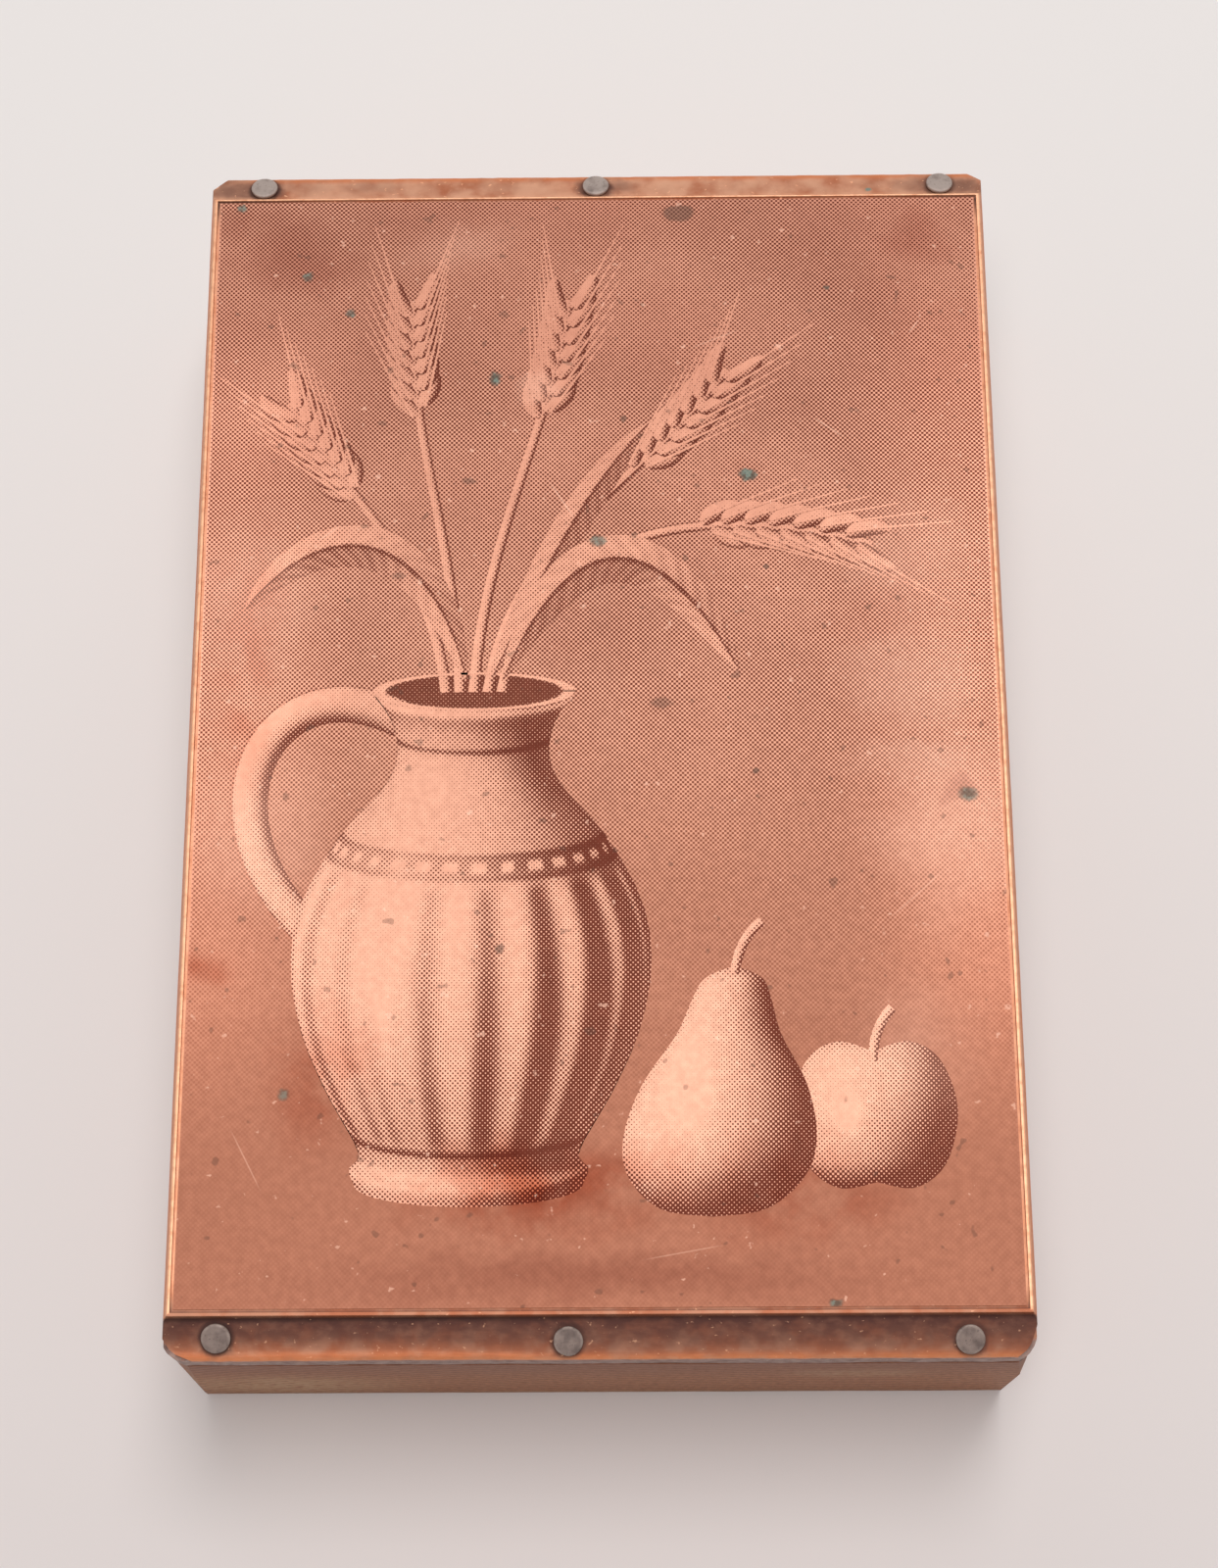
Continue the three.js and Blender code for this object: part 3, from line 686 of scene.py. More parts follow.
@dataclass(frozen=True)
class ShellCopper:
    """Bare electrolytic copper outside the picture, cut and filed when the plate was finished.

    The border line and the outer edges are rubbed to pale pink metal and carry painted highlights, and brown
    oxide and old ink sit in the corner of each flange and round its nails, with painted shade in the groove
    and under the foot's step. The head flange is painted paler, a painted reflection.
    """

    base: str = "#D29272"
    warm: str = "#C4744F"
    # The head flange's paler copper, a painted reflection
    head: str = "#F6BC9A"
    edge: str = "#E08250"
    # Dirt and soot colours, also used for painted shade in the groove, under the foot's step and on the foot
    # flange
    grime_and_shade: str = "#5E3329"
    soot_and_shade: str = "#3A1E18"
    # Pale rubbed copper, also used for painted highlights
    rubbed: str = "#FFC198"
    verdigris: str = "#7C9488"
    halo: float = 2.2
    soot_ring: float = 1.4
    # Y where the head flange starts, painted paler as a painted reflection of the light behind the block
    head_start: Point = (42.3, 42.6)
    head_light_share: float = 0.7
    # From where to where across the plate the soot and painted shade get thinner, and what is left of them
    soot_thinning: Point = (-10.0, 4.0)
    thin_soot_share: float = 0.55
    green_spot: Dab = Dab(20.8, 43.2, 0.3, 0.25, 0.9)
    # Roughness, what dirt and painted shade add to it and rubbing takes off, and metallic where clean and
    # where dark
    roughness: float = 0.55
    dirt_roughness: float = 0.15
    rub_gloss: float = 0.08
    metallic: Point = (0.55, 0.25)

    def material(self, nails: Sequence[Sequence[float]]) -> Material:
        """Builds the finish with dark halos round the nails.

        Args:
            nails: The middle of each nail's seat.

        Returns:
            The material.
        """
        made = Shading("electrolytic_copper_filed")
        colour = made.mix(made.ramp(made.noise(1.6, 4.0), 0.35, 0.65), linear(self.base), linear(self.warm))
        patchy = made.ramp(made.noise(2.4, 5.0), 0.3, 0.62)
        # Painted reflection: the head flange is painted paler
        head_painted_light = made.math("MULTIPLY", patchy, made.ramp(made.axis("Y"), *self.head_start))
        colour = made.mix(made.math("MULTIPLY", head_painted_light, self.head_light_share), colour, linear(self.head))
        torn = made.ramp(made.noise(1.6, 4.0, (1.5, 1, 1)), 0.36, 0.56, (0.3, 1.0))
        colour = made.mix(made.math("MULTIPLY", made.attribute("rim"), torn), colour, linear(self.edge))
        halos = [Dab(x, y, self.halo, 0.7 * self.halo, 0.85, 0.4) for x, y, _ in nails]
        halos += HEAD_FLANGE_STAINS
        # Oxide and ink round the nails and on the head flange, with the mesh's grime, which holds painted
        # shade
        dirt_and_shade = made.math("MAXIMUM", made.attribute("grime_and_shade"), made.dabs(halos, made.wander(0.9, 0.45)))
        patches = made.ramp(made.noise(0.7, 4.0, (1.5, 1.0, 1.0)), 0.3, 0.65, (0.86, 1.05))
        grime_and_shade = made.math("MINIMUM", made.math("MULTIPLY", dirt_and_shade, patches), 1.0)
        colour = made.mix(grime_and_shade, colour, linear(self.grime_and_shade))
        rings = [Dab(x, y, self.soot_ring, self.soot_ring, 0.8, 0.75) for x, y, _ in nails]
        # Soot round the nails, with the mesh's soot, which holds painted shade in the groove and under the
        # step
        soot_and_shade = made.math("MAXIMUM", made.attribute("soot_and_shade"), made.dabs(rings, made.wander(0.5, 0.12)))
        thinned = made.ramp(made.axis("X"), *self.soot_thinning, (1.0, self.thin_soot_share))
        soot_and_shade = made.math("MULTIPLY", soot_and_shade, thinned)
        colour = made.mix(soot_and_shade, colour, linear(self.soot_and_shade))
        worn = made.ramp(made.noise(0.5, 3.0), 0.25, 0.6, (0.5, 1.0))
        speckled = made.ramp(made.axis("Y"), -1.0, 1.0, (0.4, 0.7))
        specks = made.math("MULTIPLY", made.ramp(made.noise(0.3, 2.0, (1.4, 1, 1)), 0.68, 0.74), speckled)
        # Rubbed metal and painted highlights on the border line, its bevel and the flanges' rims
        rub = made.math("MAXIMUM", made.math("MULTIPLY", made.attribute("rub"), worn), specks)
        colour = made.mix(rub, colour, linear(self.rubbed))
        green = made.dabs((self.green_spot,), made.wander(0.5, 0.15))
        colour = made.mix(green, colour, linear(self.verdigris))
        dulled = made.math("MULTIPLY_ADD", grime_and_shade, self.dirt_roughness, self.roughness)
        rough = made.math("SUBTRACT", dulled, made.math("MULTIPLY", rub, self.rub_gloss))
        file_marks = made.noise(0.12, 2.0, (12.0, 1.0, 1.0))
        normal = made.bump(file_marks, 0.012, 0.5, made.bump(made.noise(0.6, 3.0), 0.03, 0.6))
        metal = made.ramp(grime_and_shade, 0.0, 1.0, self.metallic)
        return made.finish(Base_Color=colour, Roughness=rough, Metallic=metal, Normal=normal)


HEAD_FLANGE_STAINS = [
    Dab(-27.3, 43.6, 4.5, 1.6, 0.7, 0.25),
    Dab(-27, 43.4, 2.2, 1.2, 0.7, 0.3),
    Dab(-22.3, 43.8, 4, 1.3, 0.26, 0.2),
    Dab(-17.5, 43.8, 5, 1.2, 0.28, 0.1),
    Dab(1.5, 43.7, 2.6, 1.1, 0.5, 0.2),
    Dab(21, 43.7, 3, 1.1, 0.22, 0.1),
    Dab(25.5, 43.6, 4.5, 1.5, 0.6, 0.2),
    Dab(28, 43.4, 2.4, 1.4, 0.7, 0.3),
]


@dataclass(frozen=True)
class LeadAlloy:
    """Electrotype lead with a little tin and antimony, cast into the shell and sawn off.

    It is a soft grey that years of handling have browned, with the saw's upright marks across its edge and
    copper smeared down over its top.
    """

    grey: str = "#AE9085"
    dark: str = "#7C6058"
    pale: str = "#BBAAA3"
    copper: str = "#C2805F"
    # Height above which copper is smeared over the lead, and where the corners start that have none
    copper_line: float = 21.75
    bare_across: Point = (28.0, 28.4)
    bare_along: Point = (43.4, 43.8)
    roughness: Point = (0.42, 0.6)
    metallic: float = 0.55

    def material(self) -> Material:
        """Builds the finish.

        Returns:
            The material.
        """
        made = Shading("lead_alloy_sawn")
        colour = made.mix(made.ramp(made.noise(0.8, 4.0), 0.2, 0.75), linear(self.dark), linear(self.grey))
        streaks = made.ramp(made.noise(0.35, 2.0, (1, 1, 3)), 0.6, 0.75, (0.0, 0.6))
        colour = made.mix(streaks, colour, linear(self.pale))
        height = made.axis("Z", made.wander(0.5, 0.3))
        smear = made.ramp(height, self.copper_line - 0.1, self.copper_line + 0.25, (0.0, 0.8))
        aside, ahead = (made.math("ABSOLUTE", made.axis(name)) for name in "XY")
        beside, beyond = made.ramp(aside, *self.bare_across), made.ramp(ahead, *self.bare_along)
        corner = made.math("MULTIPLY", beside, beyond)
        smear = made.math("MULTIPLY", smear, made.math("SUBTRACT", 1.0, corner))
        colour = made.mix(smear, colour, linear(self.copper))
        saw = made.noise(0.09, 2.0, (1, 1, 14))
        normal = made.bump(saw, 0.02, 0.6, made.bump(made.noise(0.8, 3.0), 0.05, 0.7))
        rough = made.ramp(made.noise(0.5), 0.3, 0.7, self.roughness)
        return made.finish(Base_Color=colour, Roughness=rough, Metallic=self.metallic, Normal=normal)


@dataclass(frozen=True)
class AgedHardwood:
    """Close-grained hardwood, planed along the sides and sawn across the ends, brown with oil and handling.

    The growth rings cross the ends as fine wavy arcs and run along the sides as long lines.
    """

    early: str = "#BD7C50"
    late: str = "#8B5230"
    pore: str = "#57331F"
    worn: str = "#C79E76"
    stain: str = "#8B5640"
    # Spacing of the growth rings, their middle and how far they wave
    ring: float = 1.15
    heart: Triple = (14.0, 0.0, -46.0)
    ring_wave: float = 1.6
    pore_size: float = 0.16
    # How far the grain is drawn out along the block
    grain_stretch: Triple = (1, 14, 1)
    # From where to where up the block it is stained, and how much at most
    staining: Point = (9.0, 19.0)
    stain_share: float = 0.6
    roughness: Point = (0.5, 0.64)
    specular: float = 0.35

    def material(self) -> Material:
        """Builds the finish.

        Returns:
            The material.
        """
        made = Shading("hardwood_oiled")
        along = self.grain_stretch
        flat = made.vector("MULTIPLY", made.vector("SUBTRACT", made.place, self.heart), (1, 0, 1))
        away = made.add("ShaderNodeVectorMath", {"operation": "LENGTH"}, {0: flat}).outputs["Value"]
        waved = made.math("MULTIPLY_ADD", made.noise(9.0, 2.5, along), self.ring_wave, away)
        rings = made.math("SINE", made.math("MULTIPLY", waved, 2 * math.pi / self.ring))
        share = made.math("MULTIPLY_ADD", rings, 0.12, made.noise(0.45, 4.0, along))
        colour = made.mix(made.ramp(share, 0.2, 0.9), linear(self.early), linear(self.late))
        pores = made.ramp(made.noise(self.pore_size, 2.0, along), 0.6, 0.72, (0.0, 0.7))
        colour = made.mix(pores, colour, linear(self.pore))
        patchy = made.ramp(made.noise(0.6, 4.0), 0.25, 0.6)
        worn = made.math("MULTIPLY", made.dabs(WORN_WOOD, made.wander(1.5, 0.8)), patchy)
        colour = made.mix(worn, colour, linear(self.worn))
        height = made.axis("Z", made.wander(3.0, 1.5))
        under_plate = made.ramp(height, *self.staining, (0.0, self.stain_share))
        colour = made.mix(under_plate, colour, linear(self.stain))
        normal = made.bump(pores, 0.06, -0.8, made.bump(rings, 0.02, 0.5))
        rough = made.ramp(share, 0.0, 1.0, self.roughness)
        return made.finish(
            Base_Color=colour, Roughness=rough, Specular_IOR_Level=self.specular, Normal=normal
        )


WORN_WOOD = (
    Dab(-23, -44.7, 12, 2, 0.85, 0.1, 6, 10),
    Dab(18, -44.7, 7, 2, 0.6, 0.2, 13, 4),
    Dab(0, -44.7, 30, 2, 0.35, 0, 0.5, 1.6),
)


@dataclass(frozen=True)
class DullSteel:
    """Cut steel nails, hammered flat and gone dull grey-brown with rust, speckled and rubbed at the rim."""

    grey: str = "#958178"
    dark: str = "#71605A"
    pale: str = "#BBABA2"
    fleck: str = "#3F322D"
    bright: str = "#C9B5AA"
    roughness: Point = (0.6, 0.75)
    metallic: float = 0.25

    def material(self) -> Material:
        """Builds the finish.

        Returns:
            The material.
        """
        made = Shading("steel_dull")
        clouds = made.ramp(made.noise(0.9, 3.0), 0.25, 0.65)
        colour = made.mix(clouds, linear(self.dark), linear(self.grey))
        # Painted light: the nails at the head are painted paler
        head_painted_light = made.math("MULTIPLY", made.attribute("pale"), made.ramp(clouds, -0.6, 1.0))
        colour = made.mix(head_painted_light, colour, linear(self.pale))
        flecks = made.ramp(made.noise(0.16, 2.0), 0.6, 0.72, (0.0, 0.4))
        colour = made.mix(flecks, colour, linear(self.fleck))
        worn = made.math("MULTIPLY", made.attribute("rub"), made.ramp(made.noise(0.5, 3.0), 0.3, 0.6))
        colour = made.mix(worn, colour, linear(self.bright))
        normal = made.bump(made.noise(0.22, 3.0), 0.015, 0.8)
        rough = made.ramp(made.noise(0.4), 0.3, 0.7, self.roughness)
        return made.finish(Base_Color=colour, Roughness=rough, Metallic=self.metallic, Normal=normal)


@dataclass(frozen=True)
class MattPaint:
    """A plain floor painted off-white and matt, darker towards the front with painted shade."""

    colour: str = "#F3EDEA"
    # The floor's painted shade, towards the front
    shade: str = "#E9DFDC"
    front: float = -80.0
    back: float = 85.0
    roughness: float = 0.8

    def material(self) -> Material:
        """Builds the finish.

        Returns:
            The material.
        """
        made = Shading("matt_paint")
        share = made.ramp(made.axis("Y"), self.front, self.back)
        colour = made.mix(share, linear(self.shade), linear(self.colour))
        return made.finish(Base_Color=colour, Roughness=self.roughness)


# Modelling

# How close points lie that are made one, and how near a cutting plane counts as on it, in metres
SHEET_WELD = 0.0005 * MM
COPY_WELD = 0.0001 * MM
CUT_THRESHOLD = 1e-8
# How far upwards a face looks at least that belongs to a flat piece's top
TOP_NORMAL = 0.2


@contextmanager
def editing(piece: Piece) -> Iterator[None]:
    """Opens one piece in edit mode with all of it selected, and leaves edit mode at the end.

    Args:
        piece: The piece.
    """
    bpy.ops.object.select_all(action="DESELECT")
    piece.select_set(True)
    bpy.context.view_layer.objects.active = piece
    bpy.ops.object.mode_set(mode="EDIT")
    bpy.ops.mesh.select_mode(type="FACE")
    bpy.ops.mesh.select_all(action="SELECT")
    yield
    bpy.ops.object.mode_set(mode="OBJECT")


def places(piece: Piece) -> Grid:
    """Reads a piece's points.

    Args:
        piece: The piece.

    Returns:
        The points in millimetres, one row each.
    """
    flat = np.empty(3 * len(piece.data.vertices), np.float32)
    piece.data.vertices.foreach_get("co", flat)
    return flat.reshape(-1, 3).astype(float) / MM


def put(piece: Piece, points: Grid) -> None:
    """Moves the piece's points to places in millimetres."""
    piece.data.vertices.foreach_set("co", (points * MM).astype(np.float32).ravel())
    piece.data.update()


def carry(piece: Piece, name: str, values: Grid) -> None:
    """Gives the piece's points a number each that its finish reads."""
    made = piece.data.attributes.get(name) or piece.data.attributes.new(name, "FLOAT", "POINT")
    made.data.foreach_set("value", values.astype(np.float32).ravel())


def grid(name: str, across: Grid, along: Grid, height: Grid) -> Piece:
    """A sheet of quads through given points.

    Args:
        name: The piece's name.
        across: X of each point, row by row.
        along: Y of each point.
        height: Z of each point.

    Returns:
        The sheet, one face thick.
    """
    rows, columns = across.shape
    bpy.ops.mesh.primitive_grid_add(
        x_subdivisions=columns - 1, y_subdivisions=rows - 1, size=1, calc_uvs=False
    )
    made = bpy.context.active_object
    made.name = name
    put(made, np.stack([across.ravel(), along.ravel(), height.ravel()], axis=1))
    return made


def thicken(piece: Piece, depth: float) -> None:
    """Draws a sheet down into a closed body.

    Args:
        piece: The sheet.
        depth: How far down, in millimetres.
    """
    with editing(piece):
        bpy.ops.mesh.extrude_region_move(TRANSFORM_OT_translate={"value": (0, 0, -depth * MM)})
        bpy.ops.mesh.select_all(action="SELECT")
        bpy.ops.mesh.remove_doubles(threshold=SHEET_WELD)
        bpy.ops.mesh.normals_make_consistent(inside=False)


def slice_at(
    piece: Piece, point: Sequence[float], outward: Sequence[float], drop: bool = True
) -> None:
    """Cuts a closed body with a plane.

    Args:
        piece: The body.
        point: A point of the plane, in millimetres.
        outward: The plane's normal.
        drop: Whether what lies outward is dropped and the cut closed. Otherwise the cut only adds edges.
    """
    where = [value * MM for value in point]
    with editing(piece):
        bpy.ops.mesh.bisect(
            plane_co=where, plane_no=outward, use_fill=drop, clear_outer=drop, threshold=CUT_THRESHOLD
        )


def ripple(points: Grid, size: float, seed: float) -> Grid:
    """Noise from -1 to 1 at each point, with lumps about size millimetres across."""
    return np.array([noise.noise(Vector(point)) for point in points / size + seed])


def lay_flat(piece: Piece, strip_share: float = 0.02) -> None:
    """Gives a flat piece a map seen from above for its top, with its edges and underside in a thin strip.

    Args:
        piece: A piece whose top faces don't overlap.
        strip_share: Height of the strip as a share of the map.
    """
    mesh = piece.data
    layer = mesh.uv_layers.new(name="OFBake")
    points = places(piece)
    low = points.min(axis=0)
    spots = (points - low)[:, :2] / (points.max(axis=0) - low)[:2].max()
    room = 1 - 1.5 * strip_share
    for face in mesh.polygons:
        top = face.normal.z > TOP_NORMAL
        for loop in face.loop_indices:
            u, v = spots[mesh.loops[loop].vertex_index]
            layer.data[loop].uv = (u * room, 1 - room + v * room) if top else (u, v * strip_share)


def settle(
    piece: Piece, finish: Material, nodes: Sequence[str] = (), angle: float = 30
) -> None:
    """Finishes a piece: its shading, material, body and the CAD nodes that it stands for.

    Args:
        piece: The piece, in place.
        finish: Its material.
        nodes: CAD nodes that it replaces.
        angle: Faces that meet at less than this many degrees are shaded smooth.
    """
    bpy.ops.object.select_all(action="DESELECT")
    piece.select_set(True)
    bpy.context.view_layer.objects.active = piece
    bpy.ops.object.shade_smooth_by_angle(angle=math.radians(angle))
    piece.data.materials.clear()
    piece.data.materials.append(finish)
    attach(piece, BODY)
    if nodes:
        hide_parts(*nodes)
    log.info("%s: %d faces, %s", piece.name, len(piece.data.polygons), finish.name)


def rows_between(start: float, stop: float, step: float) -> list[float]:
    """Evenly spaced values strictly between two ends, about a step apart."""
    count = max(2, round(abs(stop - start) / step))
    return list(np.linspace(start, stop, count + 1)[1:-1])


# The electrotype plate


@dataclass(frozen=True)
class PlateForm:
    """Form of the plate's face outside the picture, shared by the copper shell and the lead cast inside it.

    Each table gives how far a surface lies below type height at a distance outward from the outer edge of
    the border line.
    """

    sizes: BlockSizes
    inner_table: Table = (
        (-0.50, 0.13), (-0.45, 0.16), (-0.37, 0.16), (-0.32, 0.16), (-0.26, 0.16), (-0.25, 0.07),
        (-0.245, 0.03), (-0.22, 0.0), (-0.12, 0.0),
    )
    side_table: Table = (
        (-0.03, 0.0), (0.0, 0.012), (0.02, 0.04), (0.06, 0.14), (0.12, 0.30), (0.2, 0.50), (0.265, 0.67),
        (0.33, 0.85),
    )
    step_table: Table = (
        (-0.02, 0.0), (0.0, 0.012), (0.02, 0.06), (0.04, 0.21), (0.08, 0.35), (0.15, 0.43), (0.28, 0.50),
    )
    # Where the inner table's grid lines give way to the step table's
    step_start: float = -0.03
    # How far along a corner its flat cuts lie, on a straight corner and on a round one
    straight_shares: tuple[float, ...] = (0.5,)
    round_shares: tuple[float, ...] = (0.15, 0.5, 0.85)

    def out_side(self, across: Grid) -> Grid:
        """Distance outward from the border line's outer edge at the nearer long side."""
        return np.abs(across) - self.sizes.border_side

    def out_end(self, along: Grid, flange: Flange) -> Grid:
        """Distance outward from the border line's outer edge at an end."""
        return along * flange.end.value - self.sizes.border_end(flange)

    def inward(self, across: Grid, along: Grid) -> Grid:
        """Place in the inner table: the outermost of the distances to the four sides."""
        ends = [self.out_end(along, flange) - self.sizes.side_line + flange.line for flange in NAIL_NODES]
        return np.maximum(self.out_side(across), np.maximum(*ends))

    def flange_drop(self, out: Grid, flange: Flange) -> Grid:
        """How far a flange lies below type height.

        Args:
            out: Distance outward from the border line's outer edge.
            flange: The flange.

        Returns:
            The drop.
        """
        last_out, last_drop = self.step_table[-1]
        slope = (flange.drop - last_drop) / (flange.width - last_out)
        sloping = last_drop + (out - last_out) * slope
        return np.where(out > last_out, sloping, np.interp(out, *zip(*self.step_table)))

    def drop(self, across: Grid, along: Grid) -> Grid:
        """How far the face lies below type height.

        Args:
            across: X of each point.
            along: Y of each point.

        Returns:
            The drop.
        """
        side = self.out_side(across)
        head = self.out_end(along, HEAD_FLANGE)
        foot = self.out_end(along, FOOT_FLANGE)
        inner = np.interp(self.inward(across, along), *zip(*self.inner_table))
        ends = np.maximum(self.flange_drop(head, HEAD_FLANGE), self.flange_drop(foot, FOOT_FLANGE))
        return np.maximum(inner, np.maximum(np.interp(side, *zip(*self.side_table)), ends))

    def stations(self, step: float, flange_step: float) -> tuple[Grid, Grid]:
        """Places of the grid's lines across and along the plate.

        Args:
            step: Spacing over the picture.
            flange_step: Spacing on the flanges.

        Returns:
            X of each column and Y of each row.
        """
        inner = [out for out, _ in self.inner_table]
        side = sorted({self.sizes.border_side + out for out in (*inner, *(o for o, _ in self.side_table))})
        across = [*(-x for x in reversed(side)), *rows_between(-side[0], side[0], step), *side]
        ends = {}
        for flange in (HEAD_FLANGE, FOOT_FLANGE):
            border = self.sizes.border_end(flange)
            thinner = self.sizes.side_line - flange.line
            line = (out + thinner for out in inner if out + thinner < self.step_start)
            near = sorted({border + out for out in (*line, *(o for o, _ in self.step_table))})
            far = rows_between(near[-1], self.sizes.plate_half_length, flange_step)
            ends[flange] = [*near, *far, self.sizes.plate_half_length]
        foot = [-y for y in reversed(ends[FOOT_FLANGE])]
        along = [*foot, *rows_between(foot[-1], ends[HEAD_FLANGE][0], 2 * step), *ends[HEAD_FLANGE]]
        return np.array(across), np.array(along)

    def trim(self, piece: Piece, inset: float = 0.0) -> None:
        """Cuts the plate's four corners off, those at the foot round.

        Args:
            piece: The shell or the backing.
            inset: How much further in the round cuts run.
        """
        for cut in CORNER_CUTS:
            bend = (cut.fullness * cut.across, cut.fullness * cut.along)
            ends = np.array([(0, cut.along), bend, (cut.across, 0)])
            for share in self.round_shares if cut.is_round else self.straight_shares:
                x, y = (1 - share) ** 2 * ends[0] + 2 * share * (1 - share) * ends[1] + share**2 * ends[2]
                run, rise = (1 - share) * (ends[1] - ends[0]) + share * (ends[2] - ends[1])
                outward = Vector((cut.way[0] * abs(rise), cut.way[1] * abs(run), 0)).normalized()
                corner = Vector((self.sizes.plate_half_width - x, self.sizes.plate_half_length - y, 0))
                point = Vector((cut.way[0] * corner.x, cut.way[1] * corner.y, 0))
                point -= outward * inset * cut.is_round
                slice_at(piece, point, outward)


@dataclass(frozen=True)
class Plate:
    """The electrotype: its copper shell outside the picture, and its lead backing."""

    sizes: BlockSizes
    form: PlateForm
    shell_thickness: float = 0.35
    solder_film: float = 0.03
    picture_step: float = 0.42
    flange_step: float = 0.13
    edge_wander: float = 0.03
    # Lump size and seed of the noise that the face swells by
    fine_noise: Point = (0.7, 3.1)
    broad_noise: Point = (4.0, 8.7)
    flange_swell: float = 0.025
    flange_start: float = 0.4
    # How far in a flange's rim starts to fall, and how far it falls
    rim_reach: float = 0.3
    rim_fall: float = 0.03
    # The shell's torn edge: how far in it reaches at the ends and sides, how low, and its noises
    ragged: float = 0.14
    torn_end: float = 0.2
    torn_side: float = 0.12
    torn_share: float = 0.7
    tears: tuple[Point, Point] = ((0.9, 1.3), (0.35, 6.2))
    copper_inset: float = 0.28
    # The lead's grid, the loops round its edge and the noises that it swells by
    lead_step: float = 0.9
    lead_flange_step: float = 0.52
    lead_sheet: float = 1.0
    lead_loops: int = 7
    lead_loop_top: float = 22.0
    lead_swell: float = 0.05
    lead_swell_most: float = 0.2
    lead_noises: tuple[Point, Point] = ((1.5, 4.4), (0.5, 9.1))
    lead_skin: float = 0.01
    # The groove's outer wall, as a distance outward from the border line's outer edge
    groove_wall: float = -0.26
    # How bright or dark the copper is at a distance outward from that edge: rubbed metal with painted
    # highlights on the border line and bevel, dirt with painted shade in the groove and under the foot's step
    side_rub_and_highlight: Table = (
        (-0.26, 0.4), (-0.2, 0.75), (-0.08, 0.9), (-0.02, 1.0), (0.06, 0.9), (0.12, 0.35), (0.33, 0.05),
    )
    side_rim: Table = ((-0.26, 0.3), (-0.08, 0.15), (0.06, 0.2), (0.12, 0.8), (0.33, 0.9))
    head_rub_and_highlight: Table = (
        (-0.16, 0.3), (-0.12, 1.0), (0.0, 1.0), (0.05, 0.6), (0.1, 0.2), (0.4, 0.12),
    )
    groove_grime_and_shade: Table = (
        (-0.5, 0.2), (-0.45, 0.3), (-0.37, 0.7), (-0.32, 1.0), (-0.25, 1.0), (-0.22, 0.0),
    )
    groove_soot_and_shade: Table = ((-0.37, 0.0), (-0.32, 0.9), (-0.25, 1.0), (-0.22, 0.0))
    foot_grime_and_shade: Table = (
        (-0.22, 0.2), (0.06, 0.26), (0.1, 1.0), (0.35, 0.98), (0.8, 0.9), (1.5, 0.8), (2.0, 0.62),
        (2.45, 0.38), (2.75, 0.0),
    )
    # How much sooner the foot flange's dirt and painted shade end at the left, and how far from the middle
    # they do so in full
    left_lean: float = 0.4
    lean_reach: float = 12.0
    foot_soot_and_shade: Table = ((0.06, 0.0), (0.1, 0.8), (0.28, 0.6), (0.45, 0.1), (0.8, 0.0))
    rim_width: float = 0.6
    # How bright the flanges' rims are rubbed, with painted highlights, and how orange the head's border
    # line is
    rim_rub: float = 0.3
    head_line_rim: float = 0.7
    head_grime: Table = (
        (0.05, 0.0), (0.12, 0.15), (0.3, 0.08), (0.9, 0.12), (1.6, 0.08), (2.1, 0.0),
    )
    # How dark the groove is painted at the left, the right, the foot and the head: dirt and painted shade
    groove_dirt_and_shade: tuple[float, ...] = (0.05, 0.24, 0.6, 0.55)
    # How brightly the groove's floor at the long sides is painted: painted light falling into the groove
    groove_light_share: float = 0.4
    # How dark the grooves at the long sides are at a Y: dirt and painted shade, darker towards the ends
    corner_dirt_and_shade: Table = (
        (-41.8, 0.9), (-40.8, 0.4), (-39.5, 0.0), (39.3, 0.0), (41.0, 0.5), (42.0, 1.0),
    )
    # Where the dirt and painted shade of the corners start across the plate, and over what width they grow
    corner_start: float = 20.0
    corner_growth: float = 7.0
    dark_corner: Dab = Dab(-29.0, 44.5, 3.0, 2.6, 0.6, 0.2)

    def build(self, copper: ShellCopper, lead: LeadAlloy) -> None:
        """Builds and dresses the shell and the backing.

        Args:
            copper: The shell's finish.
            lead: The backing's finish.
        """
        nails = [head for flange in NAIL_NODES for head in self.sizes.nail_heads(flange)]
        settle(self._shell(), copper.material(nails), ["copper_shell"])
        settle(self._backing(), lead.material(), ["lead_backing"])

    def _shell(self) -> Piece:
        """Presses the shell's face from a grid and gives it its thickness.

        Returns:
            The shell.
        """
        columns, rows = self.form.stations(self.picture_step, self.flange_step)
        across, along = np.meshgrid(columns, rows)
        side = self.form.out_side(across)
        head = self.form.out_end(along, HEAD_FLANGE)
        foot = self.form.out_end(along, FOOT_FLANGE)
        inward = self.form.inward(across, along)
        height = self.sizes.type_height - self.form.drop(across, along)
        flat = np.stack([across.ravel(), along.ravel(), 0 * across.ravel()], axis=1)
        fine = ripple(flat, *self.fine_noise).reshape(across.shape)
        broad = ripple(flat, *self.broad_noise).reshape(across.shape)
        on_flange = np.clip(np.maximum(head, foot) / self.flange_start, 0, 1)
        rim = np.clip(1 - (self.sizes.plate_half_length - np.abs(along)) / self.rim_reach, 0, 1)
        height += on_flange * (self.flange_swell * broad - self.rim_fall * rim**2)
        foot_of_bevel = np.clip(side / self.sizes.side_bevel, 0, 1)
        across = across - np.sign(across) * foot_of_bevel * self.edge_wander * (0.5 + 0.5 * broad)
        along = along - np.sign(along) * rim * self.edge_wander * (1 + fine + broad)
        shell = grid("copper_plate", across, along, height)
        self._mark(shell, side, head, foot, rim, inward)
        thicken(shell, self.shell_thickness)
        self._tear_edge(shell)
        self.form.trim(shell, self.copper_inset)
        lay_flat(shell)
        return shell

